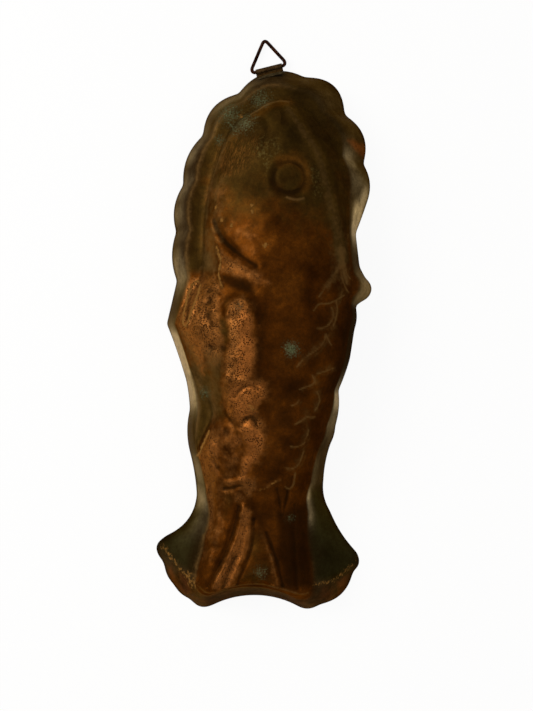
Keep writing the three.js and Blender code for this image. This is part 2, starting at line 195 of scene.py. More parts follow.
slants = [
    [(-31.5, -65.5), (-28, -71), (-23.5, -77), (-19.5, -80.5), (-14.5, -82.5)],
    [(-25, -46.5), (-22, -51.5), (-17, -58), (-14.5, -65), (-10.5, -71.5), (-8, -74)],
]
analEdge = [(-34.5, -64), (-37, -70), (-39, -74.5), (-41, -79.5), (-44, -82)]
zigzag = [(1, -102), (6, -100.5), (11, -96.5), (15.5, -94.5)]
tailGrooves = [
    [(-12, -114), (-14, -125.5), (-16.5, -135.5), (-21.5, -149.5), (-27, -161), (-32.5, -170)],
    [(-14, -149), (-17, -157), (-20, -165), (-21.5, -170)],
    [(-1.5, -122), (-2, -138), (-5.5, -151), (-10, -161), (-12.5, -168)],
    [(7, -131), (13.5, -147), (17, -158), (19, -167)],
    [(25, -112), (25, -130), (27, -150), (29, -168)],
]
tailRays = [
    [(-8.5, -114), (-10.5, -127.5), (-14.5, -140), (-20.5, -153.5), (-25.5, -165), (-28, -171)],
    [(-4.5, -118), (-4.2, -132.5), (-6.5, -143), (-11, -154.5), (-16, -168)],
]
tailRib = [(2, -127), (6.5, -137), (10.5, -146.5), (13, -155.5), (15, -165)]
tailFolds = [(-28, -100), (-28, -114), (-29, -126), (-31.5, -136)]
tailDips = [(-21.5, -104), (-21, -115), (-23.5, -129), (-27, -141), (-30, -152)]
tailHook = [(17, -95.5), (18, -101), (21, -102), (23, -96.5), (23.5, -92)]
tailFork = [(13.5, -101), (16, -112.5), (17.2, -121), (19.5, -110), (20.5, -102)]
endBead = [(-38.5, -171), (-36, -173.5), (-32.5, -175), (-26, -173.5), (-18, -170.5), (-8, -168), (1, -167),
    (10.5, -167.2), (18.5, -168.8), (26.5, -171.2), (32, -173), (36, -172)]
creases = [
    [(-68.5, -147.5), (-64, -152), (-60.5, -154.5), (-57, -158.5), (-54, -161.5), (-49.5, -164.5),
        (-46, -167), (-43, -172)],
    [(69.5, -150), (64, -156.5), (58.5, -161.5), (53, -165.5), (47, -166), (41, -166.5)],
]
scaleEdges = [
    [(38, 29), (44, 38), (49, 47), (53, 52.5)],
    [(51, 50.5), (52.5, 44), (55, 36.5), (57.5, 33.5)],
    [(54.5, 53), (55.5, 46.5), (58, 43)],
    [(35, 19.5), (38, 24.5), (44.5, 24.5), (49.5, 27.5), (54.5, 31)],
    [(37.5, 8), (42.5, 8.5), (47, 12.5), (48, 18.5), (46.5, 22.5)],
    [(49.5, 27), (50.5, 20.5), (49.5, 14), (48, 10)],
    [(25, -18), (30, -11.5), (36.5, -7.5), (42, -2), (43.5, 4.5)],
    [(43.5, 4.5), (45.5, -0.5), (47, -2.5)],
    [(38, -22.5), (42.5, -21), (48.5, -18.5)],
    [(37, -24), (37.5, -29.5)],
    [(27, -33), (31, -31.5), (36, -29.5), (37, -27), (35, -23)],
    [(38.5, -34.5), (40.5, -39), (39.5, -44), (37.5, -47)],
    [(22.5, -44), (25.5, -42.5), (27, -40)],
    [(24.5, -56.5), (29, -54), (32, -51), (35, -52), (37.5, -51.5)],
    [(33.5, -60), (33, -64), (31, -67)],
    [(22, -71.5), (25.5, -72), (30.5, -70), (31.5, -68)],
    [(18, -86), (23, -87), (27.5, -84.5), (29.5, -78.5), (30.5, -75)],
    [(19, -99), (21, -101), (24, -99), (25, -94), (25.5, -89.5)],
]
pittedFront = [(-22, 15), (-19.5, 5), (-19.5, -2.5), (-22, -11.5), (-23.5, -22.5), (-24.5, -36.5),
    (-23.5, -45), (-19.5, -52.5), (-13.5, -57), (-13, -61.5), (-9.5, -69), (-5.5, -75.5), (-10, -79.5),
    (-10, -86), (-12, -92), (-12, -102), (-5.5, -106), (-1.5, -101), (0.5, -97), (-4, -93.5), (-7.5, -90.5),
    (-5, -87), (-0.5, -83), (2.5, -78), (5, -72.5), (5, -63.5), (3.5, -55.5), (0, -49), (0, -43), (4, -39),
    (7, -34.5), (5, -29.5), (-4, -26), (-3, -20), (-2, -11), (-2, -2), (-3.5, 9), (-5.5, 18.5), (-9, 24.5),
    (-14.5, 26.5), (-19, 25), (-22, 20.5)]

reliefLines = [
    (2.5, -0.8, gillGroove),
    (2.5, -0.9, gillGroove[:4]),
    (4.6, 0.85, collar + [(7, 34)]),
    (1.3, 1.0, collarEdge),
    (3.2, -0.7, [(-24, 40), (-16, 36), (-6, 31)]),
    (4.8, 1.6, backRidge),
    (2.8, 0.7, backRidge),
    (1.4, 1.2, pectoralRib + pectoralRib[:1]),
    (1.8, -0.9, [(-51, 31), (-50.5, 22), (-51.5, 12)]),
    (1.6, 1.0, [(-40, 33), (-35, 34.5), (-30.5, 35)]),
    (1.6, 1.0, [(-38, 27.5), (-33, 29), (-29.5, 28)]),
    (1.6, 1.0, [(-40.5, 20.5), (-36, 18.5), (-33, 19)]),
    (2.6, -1.0, [(-35.5, 31), (-35.5, 24)]),
    (2.8, -1.0, [(-36, 16), (-34, 10)]),
    (2.8, -0.8, [(-33.5, -6), (-24, -7)]),
    (1.8, 1.1, tongueTop),
    (1.8, 0.7, faceLine),
    (1.6, 0.9, snoutLine),
    (2.2, -0.7, [(-12, 150), (-4, 151), (1, 143), (-2, 128)]),
    (1.4, 0.8, eyeArc),
    (1.4, 1.3, analEdge),
    (1.4, 0.8, zigzag),
    (3.2, 1.2, tailRib),
    (2.8, 0.7, tailFolds),
    (2.4, -0.5, tailDips),
    (1.8, -1.2, tailFork),
    (1.4, 1.2, endBead),
    (2.4, -1.0, [(-30, -84), (-26, -90), (-22, -94)]),
    (1.8, -1.1, [(-22, -102), (-17, -101), (-12, -99)]),
    (2.4, 1.2, [(-19, -98), (-14, -97), (-9.5, -95)]),
]
reliefLines += [(1.9, -0.8, path) for path in notches] + [(2.6, 0.1, path) for path in lips]
reliefLines += [(2.2, -0.5, path) for path in slants] + [(1.8, -1.2, path) for path in tailGrooves]
reliefLines += [(2.8, 1.4, path) for path in tailRays] + [(1.3, 0.6, path) for path in scaleEdges]
reliefPads = [
    (3.0, 2.0, [(-45, 41), (-54, 33), (-58.5, 16), (-57, 9), (-52, 20), (-45, 34)]),
    (4.4, 4.0, [(-18, 27), (-8, 26), (-4, 15), (-2, 0), (-3, -12), (-5, -28), (-24, -28), (-22, -8),
        (-22, 17)]),
    (4.0, 1.6, [(-33, 18), (-20, 20), (-20, -26), (-31, -26)]),
    (2.4, 3.2, [(-23, -26), (-8, -28), (5, -31), (5, -38), (0, -50), (-8, -51), (-18, -52), (-24, -42)]),
    (3.0, 2.4, [(-12, -55), (2, -56), (5, -66), (3, -78), (-4, -86), (-6, -98), (-10, -90), (-6, -78),
        (-11, -66)]),
    (3.8, 1.4, [(-30, -55), (-36, -66), (-39, -75), (-44, -82), (-34, -90), (-28, -100), (-20, -90),
        (-16, -72), (-24, -58)]),
    (5.0, 1.0, [(26, 24), (40, 26), (44, 8), (30, 0), (20, 10)]),
    (5.0, 1.0, [(24, -12), (40, -8), (44, -22), (34, -30), (22, -24)]),
    (4.0, 0.9, [(20, -38), (34, -36), (36, -50), (26, -54)]),
    (4.0, 0.9, [(18, -60), (31, -57), (32, -70), (22, -72)]),
]

# where the copper is rubbed, olive, green, in shade and so on, and where highlights are painted: areas
# (strength, edge, outline), lines (width, strength, path) and spots (x, y, radius, strength)
rubbedPlaces = {
    "areas": [
        (0.9, 3.4, pittedFront),
        (1.0, 3, [(-60, 10), (-57, 4), (-43, -18), (-39, -26), (-38, -10), (-50, 8)]),
        (0.95, 3.5, [(-54, 34), (-48, 40), (-40, 40), (-32, 42), (-28, 34), (-29, 20), (-27, 8), (-24, 0),
            (-26, -14), (-33, -20), (-42, -8), (-57, 4), (-59, 14)]),
        (0.66, 2.8, [(-29, 58), (-19, 52), (-11, 48), (-3, 44), (6, 36), (-2, 37), (-7.5, 37), (-16.5, 40),
            (-27, 44)]),
        # the cheek's patch: rubbed copper, and partly a painted reflection
        (0.26, 6, [(-21.5, 78), (-7, 73), (-1, 62), (-4, 55), (-15, 63), (-24, 72.5)]),
        (0.85, 2.5, [(-35, -66), (-31.5, -60), (-26, -66), (-26, -80), (-28, -96), (-29, -115), (-33, -130),
            (-36, -110), (-40, -95), (-44, -82), (-39, -74.5)]),
        (0.4, 4, [(-30, -58), (-16, -56), (-10, -80), (-12, -110), (-30, -112), (-26, -90)]),
        (0.68, 2, [(-10, -112), (-3, -116), (-3, -132), (-5, -143), (-10, -155), (-14, -168), (-20, -171),
            (-29, -171), (-27, -163), (-21, -152), (-15, -140), (-12, -128)]),
        (0.45, 2.6, [(-34, -91), (-27.5, -92.5), (-24.5, -112), (-23, -128), (-29, -150), (-37, -152),
            (-34.5, -112)]),
    ],
    "lines": [(1.4, 0.8, pectoralRib), (2.4, 0.35, tailRib), (1.5, 0.4, zigzag)],
    "spots": [(-35, 97, 8, 0.4), (-31, 118, 6, 0.25), (-12, -107, 4.5, 0.75), (-13, -68, 4, 0.9)],
}
olivePlaces = {
    "areas": [
        (1.0, 24, [(-70, 97), (-40, 99), (-18, 87), (10, 89), (44, 78), (60, 76), (70, 200), (-70, 200)]),
        (0.9, 4, [(-70, 112), (-39, 106), (-40, 60), (-35, 58), (-36, 47), (-50, 45), (-62, 30),
            (-72, 20)]),
        (0.95, 3, [(-52, -20), (-40, -17), (-32, -30), (-31, -50), (-35, -61), (-45, -82), (-52, -60)]),
        (0.7, 4, [(-32, 16), (-21, 14), (-20, 0), (-25, -20), (-26, -44), (-22, -52), (-30, -58),
            (-36, -40), (-31, -10)]),
        (0.5, 3, [(-4, -130), (3, -130), (11, -150), (14, -166), (-11, -167), (-4, -150)]),
        (0.3, 2, [(-24, -98), (-16, -98), (-15, -112), (-20.5, -127), (-24, -137), (-24.5, -120)]),
    ],
    "lines": [(4.6, 1.3, backRidge)],
    "spots": [(-15, 18, 4, 0.6)],
}
greenPlaces = {
    "areas": [
        (1.0, 2, [(-90, -95), (-33, -95), (-34, -150), (-41, -164), (-58, -157), (-90, -140)]),
        (1.0, 2, [(90, -100), (32, -100), (35, -150), (40, -164), (55, -164.5), (90, -140)]),
    ],
}
shadePlaces = {
    "areas": [
        (0.85, 1.8, collarShadow),
        (0.5, 3, [(-3, 118), (4, 119), (3, 108), (5, 98), (-1, 97), (-6, 106)]),
        (0.4, 3, [(-30, 128), (-23, 127), (-24, 112), (-34, 110), (-37, 118)]),
        (0.5, 5, [(-12, 142), (4, 142), (6, 130), (-10, 128)]),
        (0.3, 6, [(30, 98), (44, 98), (46, 78), (32, 76)]),
        (0.5, 3, [(-36, -56), (-28, -52), (-22, -57), (-25, -67), (-33, -68)]),
        (0.3, 5, [(-22, 108), (-8, 108), (-4, 92), (-18, 92)]),
        (0.5, 6, [(12, -6), (26, -8), (26, -24), (14, -24)]),
        (0.55, 6, [(8, -80), (20, -80), (20, -104), (8, -104)]),
        (0.75, 3, [(-34, -104), (-43, -130), (-51, -164), (-36, -165), (-34, -140), (-31, -118)]),
        (0.65, 4, [(-2, -116), (8, -114), (10, -140), (0, -138)]),
        (0.55, 8, [(46, 88), (62, 88), (64, -30), (52, -60), (38, -100), (30, -100), (40, -40), (50, 10)]),
        (1.0, 4, [(13, -116), (36, -110), (40, -168), (20, -168), (16, -146)]),
        (0.4, 6, [(8, 20), (30, 18), (30, -8), (10, -10)]),
        (0.45, 5, [(-1, -110), (14, -110), (16, -142), (3, -128)]),
        (0.5, 5, [(34, -128), (46, -138), (46, -160), (36, -166)]),
        (0.55, 4, [(-22, 147), (-6, 147), (-4, 132), (-20, 130)]),
        (0.5, 5, [(-18, 184), (8, 188), (10, 172), (-14, 168)]),
        (0.5, 5, [(6, -26), (20, -28), (22, -44), (8, -48)]),
        (0.7, 5, [(12, -42), (24, -44), (24, -60), (12, -58)]),
        (0.6, 4, [(17, -22.5), (33, -22), (36, -36.5), (28, -42), (14, -42.5), (12, -29)]),
        (0.75, 3, [(-3.5, 22), (4.5, 20), (5, 0), (2.5, -13.5), (1.5, -27), (-2.5, -24.5), (-2, -4)]),
        (0.55, 6, [(32, 17), (50, 17), (61, 17.5), (61.5, -1), (51.5, -17), (37, -15), (32, 1)]),
        (0.6, 2, [(14, -64), (23.5, -63.5), (25, -71.5), (17, -74.5)]),
        (0.7, 4, [(30.5, -77), (36.5, -58), (44, -36.5), (51.5, -25.5), (56.5, -17), (51.5, -14.5),
            (41, -28.5), (36, -44.5), (31, -58)]),
        (0.5, 4, [(21, 153.5), (36, 132), (49.5, 107), (53, 87), (57.5, 84), (58, 101.5), (50.5, 118),
            (44.5, 136.5), (32.5, 155)]),
        (0.5, 3, [(-52, 58), (-36, 56), (-33, 46), (-48, 46)]),
        (0.25, 6, [(14, 160), (30, 150), (46, 120), (54, 110), (58, 130), (40, 160), (20, 172)]),
        (0.5, 2, [(3.5, 154), (13.5, 154), (15, 144), (8.5, 141.5), (3, 146)]),
        (0.8, 3, [(53, 27), (72, 26), (66, -10), (62, -37), (42, -37), (43, -28), (52, -8)]),
        (0.4, 2.5, [(54, 121), (62, 118), (67, 104), (66, 96), (59, 98), (57, 110)]),
        (0.6, 2.5, [(38, -167), (50, -166), (52, -176), (46, -190), (32, -180)]),
        (0.6, 3, [(-36, -177), (-2, -171), (34, -177), (30, -195), (-36, -195)]),
        (0.7, 1.6, [(-52, -163), (-48, -165), (-47, -176), (-50, -182), (-54, -176)]),
        (0.4, 3, [(-78, -147), (-62, -150), (-55, -162), (-66, -168)]),
        (0.7, 4, [(-54, 134), (-42, 138), (-47, 100), (-48, 58), (-62, 40), (-64, 100)]),
        (0.4, 4, [(57, 70), (72, 70), (72, 49), (58, 49)]),
        (0.15, 4, [(20, 182), (40, 166), (56, 140), (48, 128), (30, 150), (14, 166)]),
    ],
    "lines": [(1.4, 0.8, gillGroove), (1.6, 1.1, gillGroove[:4]), (4.0, 0.7, eyeMoat), (2.6, 0.35, eyeHighlightArc),
        (1.8, 0.4, [(x + 5.5, y + 1.5) for x, y in backRidge]), (1.2, 0.5, [(-50.5, 31), (-51, 22),
        (-52, 12)]), (1.8, 0.4, [(-15.5, 152.5), (-9, 157), (-2, 158.5)]), (1.1, 0.6, tailHook),
        (1.2, 0.7, tailFork), (2.2, 0.7, tailGrooves[3]), (2.0, 0.5, tailGrooves[4])]
        + [(1.5, 0.6, path) for path in notches] + [(1.3, 0.3, path) for path in tailGrooves[:3]]
        + [(1.4, 0.1, path) for path in slants] + [(2.6, 0.35, collar)],
    "spots": [(-35.5, 27, 3, 0.6), (-36, 14, 3.2, 0.6), (-14, 19, 3.6, 0.4), (-17, 15, 3, 0.3),
        (-17, 24, 3.5, 0.5), (-33.5, -6.5, 4, 0.6), (-24, -8, 3.2, 0.6), (16, 108.3, 8.5, 0.5),
        (4, 101, 5, 0.5), (-27.5, -87.5, 2.4, 0.7), (-16, -101, 2.6, 0.6), (-13, 162, 4, 0.7),
        (-22, -63, 3.8, 0.75)],
}
verdigrisPlaces = {
    "lines": [(1.4, 0.45, [(-30, 150), (-22, 141), (-15, 147), (-8, 150)])],
    "spots": [(-28, 154.5, 8, 0.55), (-6.5, 164, 7.5, 0.48), (-15.5, 146, 7, 0.56), (-34, 135.5, 3.4, 0.5),
        (-22, 141, 5, 0.4), (21, -6.5, 4.6, 0.95), (-38.5, -38, 4.4, 0.5), (3.5, -158.5, 4.6, 0.45),
        (-13.5, 20, 3.5, 0.3), (23, -120.5, 3, 0.35)],
}
crustPlaces = {
    "lines": [(0.9, 0.75, collarEdge), (0.9, 1.0, analEdge), (0.8, 0.95, pectoralRib), (0.8, 0.4, zigzag),
        (1.8, 0.5, creases[0]), (1.5, 0.45, creases[1])],
    "spots": [(-44, -169.5, 3.6, 0.6), (-47, -164.5, 2.6, 0.6), (-34, 88, 1.2, 0.9), (-8.5, 88.5, 1.2, 1.0),
        (-8, 84.5, 1.2, 0.9), (-29, 79, 1.6, 0.9), (-22, 75, 1.2, 0.9), (2, 62, 1.6, 0.8),
        (-20, 152, 1.5, 0.8), (-4, -46, 2.4, 0.6)],
}
# pale tints of the copper, and painted highlights along its ridges, edges, the eye's arc and the scale lines
paleTintAndHighlightPlaces = {
    "areas": [
        (0.65, 4, [(-42, 74), (-33, 76), (-31, 44), (-42, 44)]),
        (0.35, 4, [(44, 72), (56, 72), (57, 44), (46, 44)]),
        (0.3, 3, [(16, 186), (34, 180), (40, 170), (30, 168), (16, 176)]),
        (0.62, 4, [(-38, -8), (-26, -10), (-26, -50), (-33, -56), (-37, -34)]),
        (0.45, 4, [(-39, 110), (-29, 108), (-30, 64), (-39, 62)]),
        (0.5, 3, [(-58, 6), (-50, 4), (-38, -18), (-38, -38), (-45, -38), (-54, -8)]),
    ],
    "lines": [(3.4, 0.36, backRidge), (3.2, 0.3, faceLine), (1.0, 0.5, faceLine), (1.0, 0.7, snoutLine),
        (0.9, 0.9, eyeArc), (1.4, 0.15, tailRib), (0.9, 0.5, endBead), (3.8, 0.42, [(43, 98), (46, 86),
        (49, 74), (51.5, 62), (52.5, 50)]), (3.2, 0.85, [(51.5, 62), (52.3, 57), (52, 50)]),
        (2.6, 0.6, [(51, 50), (47, 42), (43, 36)]), (2.0, 0.7, [(53, 50), (56, 40)]), (3.2, 0.3, [(51, 47),
        (55, 33.5), (49, 25), (48.5, 17), (48, 9), (45, 1), (35, -7), (29.5, -14)]),
        (3.0, 0.28, [(47.5, -17.5), (37, -23), (38, -29.5), (39.5, -39), (38.5, -47)]),
        (3.0, 0.28, [(32.5, -48.5), (31, -55.5), (33, -63.5), (30, -70), (30, -77), (27, -83.5)])]
        + [(0.7, 0.72, path) for path in scaleEdges]
        + [(0.7, 0.3, [(x + 1.7, y - 1.3) for x, y in path]) for path in scaleEdges[::2]],
    "spots": [(51.5, 60, 4, 0.9), (52, 53, 3, 0.9)],
}
scratchedPlaces = {
    "areas": [
        (1.0, 4, [(-34, 133), (-22.5, 136), (-7, 135), (-6.5, 125), (-14.5, 113.5), (-31.5, 107.5),
            (-35, 120)]),
        (0.12, 6, [(-60, 140), (-46, 130), (-50, 60), (-60, 40), (-66, 80)]),
    ],
}
crumbPlaces = {
    "areas": [
        (0.8, 3, [(-7.5, 127), (-5, 134.5), (7.5, 136), (11, 127.5), (2.5, 120.5), (-6, 118.5)]),
        (0.7, 2, [(-1.5, 119), (2.5, 121.5), (4, 112), (0, 110.5)]),
        (0.7, 3, [(25.5, 118), (34, 116.5), (38.5, 105.5), (37.5, 94), (31.5, 99.5), (30, 109.5)]),
        (0.4, 6, [(-25, 152), (-8, 164), (-6, 150), (-18, 140)]),
    ],
}
# golden patches of the copper, and painted highlights: an orange arc on the eye's ring and an orange
# reflection on the right wall's lobe
goldenAndHighlightPlaces = {
    "areas": [
        (0.8, 6, [(2, 45), (28.5, 45.5), (26.5, 24.5), (10.5, 24), (1, 31.5)]),
        (1.1, 3, [(-13, 18), (-5, 18), (-3, 5), (-4, -14), (-6, -25), (-14, -25), (-12, 0)]),
        (0.8, 3, [(-16, -60), (-9, -58), (-8, -76), (-16, -80)]),
        (0.9, 2.5, [(-8, -60), (3, -62), (4, -74), (-7, -76)]),
        (0.6, 2.5, [(33, -98), (42, -104), (43, -118), (34, -116)]),
        (0.55, 8, [(-4, 92), (16, 92), (20, 60), (4, 50), (-8, 62)]),
        (0.4, 4, [(0, 64), (10, 62), (12, 46), (2, 46)]),
        (0.5, 3, [(44, -168), (56, -170), (54, -182), (46, -184)]),
        (0.6, 4, [(-42, 84), (-34, 86), (-30, 70), (-36, 58), (-44, 66)]),
        (0.5, 3, [(7.5, -12), (21, -13), (22.5, -21), (10.5, -21)]),
        (0.3, 4, [(3, -40), (17.5, -42.5), (22, -58), (14.5, -63.5), (17.5, -78), (12.5, -85), (4, -77.5),
            (5, -58.5)]),
        (0.45, 8, [(-2.5, 75), (38, 76), (41.5, 48.5), (-1.5, 47.5)]),
        (0.1, 6, [(-25.5, 112.5), (3, 115.5), (6, 99), (-10.5, 91.5), (-30.5, 98)]),
        (1.0, 4, [(-63, -163), (-52, -173), (-47, -179), (-51.5, -181), (-61.5, -173.5)]),
        (0.35, 5, [(-60, -174), (-36, -171), (34, -171), (60, -170), (40, -195), (-44, -195)]),
        (0.75, 3, [(-16, -30), (4, -30), (5, -38), (0, -48), (-3, -54), (5, -66), (3, -78), (-6, -94),
            (-12, -94), (-10, -76), (-22, -48)]),
        (0.6, 3, [(-60, 10), (-57, 4), (-43, -18), (-39, -26), (-38, -10), (-50, 8)]),
        (0.35, 3, [(-35, -70), (-27, -68), (-20, -80), (-26, -96), (-38, -90), (-43, -82)]),
        # a painted orange reflection on the wall's lobe
        (0.9, 2, [(53, 138.5), (68, 139), (71, 128), (64, 129.5), (57, 134)]),
        (0.9, 2, [(-56, -163), (-47, -168), (-45, -178), (-50, -180)]),
        (0.3, 3, [(58, 48), (72, 48), (72, 30), (60, 30)]),
        (0.6, 2, [(54, -166), (64, -162), (66, -176), (56, -184)]),
        (0.4, 2, [(-10, -112), (-3, -116), (-5, -143), (-14, -168), (-29, -171), (-21, -152)]),
    ],
    # the first line is a painted highlight on the eye's ring
    "lines": [(4.4, 1.1, eyeHighlightArc), (4.0, 0.8, [(-23, 137), (-13, 147), (-5, 154.5), (4, 159.5),
        (13, 161.5)])],
    "spots": [(18, 122, 7, 0.6), (-11, 6, 4, 0.9), (-13, -68, 3.5, 1.0)],
}

# painted reflections and highlights on the wall, which is also glossier there: side, y from and to, how far
# up the wall from and to, strength
paintedWallReflections = [
    (-1, -26, 2, 0.02, 0.95, 1.7),
    (-1, -48, -24, 0.02, 0.95, 0.95),
    (-1, -102, -84, 0.2, 0.95, 0.35),
    (-1, -118, -104, 0.1, 0.95, 0.55),
    (-1, 66, 76, 0.1, 0.85, 0.15),
    (-1, 81, 91, 0.1, 0.8, 0.35),
    (-1, 34, 58, 0.1, 0.9, 0.36),
    (-1, 97, 111, 0.1, 0.8, 0.36),
    (-1, 124, 133, 0.1, 0.75, 0.45),
    (-1, 136, 150, 0.1, 0.55, 0.14),
    (-1, -136, -120, 0.3, 1.0, 0.13),
    (-1, 156, 176, 0.2, 0.7, 0.2),
    (1, 92, 106, 0.02, 0.4, 1.1),
    (1, 72, 94, 0.02, 0.66, 1.5),
    (1, 121, 129, 0.5, 0.95, 0.55),
    (1, 29, 47, 0.0, 0.75, 0.34),
    (1, -46, -28, 0.0, 0.8, 1.6),
    (1, -62, -46, 0.1, 0.95, 0.35),
    (1, -104, -84, 0.6, 1.0, 0.15),
    (1, -122, -104, 0.86, 1.0, 1.9),
    (1, 104, 115, 0.25, 0.9, 0.3),
]

# how the masks are made that follow from the shape itself
wear = {
    "hollowBlurs": 16,
    "hollowGain": 0.8,
    "wallReach": 1.5,
    "wallFade": 3,
    "lineColumns": 1.1,  # of the painted shade line along the rim and the painted highlight along the shoulder
    "shoulderHighlightStrength": 0.55,
    "shoulderHighlightEnd": 35,
    "shoulderHighlightFade": 30,
    "steepStart": 1.5,
    "steepGain": 2.2,
    "reflectionEdge": 6.0,
    "reflectionEdgeUp": 0.12,
}


def mix(a, b, t):
    return a + (b - a) * t


def softened(path):
    # corner cutting, twice, with the two ends kept
    points = [np.array(p, float) for p in path]
    for _ in range(2):
        cut = [points[0]]
        for a, b in zip(points, points[1:]):
            cut += [mix(a, b, 0.25), mix(a, b, 0.75)]
        points = cut + [points[-1]]
    return points


def lineDistance(path, x, y):
    nearest = np.full(x.shape, 1e9)
    for (ax, ay), (bx, by) in zip(path, path[1:]):
        dx, dy = bx - ax, by - ay
        t = np.clip(((x - ax) * dx + (y - ay) * dy) / max(dx * dx + dy * dy, 1e-9), 0, 1)
        nearest = np.minimum(nearest, np.hypot(x - ax - t * dx, y - ay - t * dy))
    return nearest


def insideness(outline, x, y):
    # distance to the outline, positive inside
    closed = list(outline) + [outline[0]]
    inside = np.zeros(x.shape, bool)
    for (ax, ay), (bx, by) in zip(closed, closed[1:]):
        if ay != by:
            inside ^= ((ay > y) != (by > y)) & (x < ax + (bx - ax) * (y - ay) / (by - ay))
    distance = lineDistance(closed, x, y)
    return np.where(inside, distance, -distance)


def softStep(distance, edge, height=1.0):
    # from 0 to height across an edge, high where the distance is positive
    return height / (1 + np.exp(np.clip(-2 * distance / edge, -40, 40)))


def softBox(value, low, high, edge):
    return softStep(high - value, edge, softStep(value - low, edge))


def bell(distance, width):
    return np.exp(-((distance / width) ** 2))


def softLine(path, x, y, width, height):
    return height * bell(lineDistance(softened(path), x, y), width)


def mask(places, x, y):
    strongest = np.zeros(x.shape)
    for strength, edge, outline in places.get("areas", []):
        strongest = np.maximum(strongest, softStep(insideness(outline, x, y), edge, strength))
    for width, strength, path in places.get("lines", []):
        strongest = np.maximum(strongest, softLine(path, x, y, width, strength))
    for cx, cy, radius, strength in places.get("spots", []):
        strongest = np.maximum(strongest, strength * bell(np.hypot(x - cx, y - cy), radius))
    return strongest


def sideStations(rows, side):
    rows = np.array(rows, float)
    steps = np.diff(rows, axis=0)
    rimRun = np.hypot(steps[:, 0], steps[:, 1])
    shoulderRun = np.hypot(steps[:, 3], steps[:, 4])
    run = (rimRun + shoulderRun) / 2
    ends = np.concatenate([[0], np.cumsum(run)])
    along = np.linspace(0, ends[-1], mould["stations"] + 1)
    k = np.clip(np.searchsorted(ends, along, side="right") - 1, 0, len(run) - 1)
    t = np.minimum(1, (along - ends[k]) / run[k])
    carry = np.minimum(1, shoulderRun / rimRun) ** 2

    def arc(column, bulge):
        start = rows[k, column:column + 2]
        step = steps[k, column:column + 2]
        out = np.stack([-step[:, 1], step[:, 0]], 1) / np.hypot(step[:, 0], step[:, 1])[:, None]
        return start + step * t[:, None] + out * (side * 4 * bulge * t * (1 - t))[:, None]

    return arc(0, rows[k, 2]), arc(3, rows[k, 2] * carry[k])


def fishAt(column, y):
    # one column of the fish's table at any y, as a smooth curve through its rows
    last = len(fish) - 1
    y = np.clip(y, fish[last, 0], fish[0, 0])
    k = np.clip(np.searchsorted(-fish[:, 0], -y, side="right") - 1, 0, last - 1)
    before, after = np.maximum(0, k - 1), np.minimum(last, k + 2)
    ya, yb, va, vb = fish[k, 0], fish[k + 1, 0], fish[k, column], fish[k + 1, column]
    gap = yb - ya
    t = (y - ya) / gap
    slopeBefore = (vb - fish[before, column]) / (yb - fish[before, 0]) * gap
    slopeA = np.where(k > 0, slopeBefore, vb - va)
    slopeB = (fish[after, column] - va) / (fish[after, 0] - ya) * gap
    cubic = t * t * (3 - 2 * t)
    return mix(va, vb, cubic) + t * (1 - t) ** 2 * slopeA - t * t * (1 - t) * slopeB


def insideFish(x, y):
    return (y < fish[0, 0]) & (x > fishAt(bellyEdge, y)) & (x < fishAt(backEdge, y))


def edgeFraction(shoulder, crown):
    # how far along the way from the shoulder to the crown the fish begins
    step, halvings, smoothing = 0.01, 12, np.array([1, 2, 3, 4, 3, 2, 1]) / 16
    run = np.linalg.norm(crown - shoulder, axis=1)
    steps = np.arange(0, 1, step)
    x = mix(shoulder[:, :1], crown[:, :1], steps)
    y = mix(shoulder[:, 1:], crown[:, 1:], steps)
    first = np.argmax(insideFish(x, y), axis=1)
    low, high = np.maximum(0, first - 1) * step, first * step
    for _ in range(halvings):
        t = (low + high) / 2
        isIn = insideFish(mix(shoulder[:, 0], crown[:, 0], t), mix(shoulder[:, 1], crown[:, 1], t))
        low, high = np.where(isIn, low, t), np.where(isIn, t, high)
    edge = np.maximum(high, mould["leastLedge"] / run)
    return np.convolve(np.pad(edge, 3, mode="edge"), smoothing, mode="valid")


def relief(x, y):
    rise = np.zeros(x.shape)
    for width, height, path in reliefLines:
        rise += softLine(path, x, y, width, height)
    for edge, height, outline in reliefPads:
        rise += softStep(insideness(outline, x, y), edge, height)
    r = np.hypot(x - eye["x"], y - eye["y"])
    rise += eye["ringHeight"] * bell(r - eye["ring"], eye["ringWidth"])
    rise -= eye["moatDepth"] * bell(r - eye["moat"], eye["moatWidth"])
    rise += eye["pupilHeight"] * np.sqrt(np.clip(1 - (r / eye["pupil"]) ** 2, 0, 1))
    return rise


def handWork(x, y):
    # the slow unevenness of a sheet that was pressed and beaten by hand
    return sum(size * np.sin(ax * x + ay * y + phase) for ax, ay, phase, size in waves)


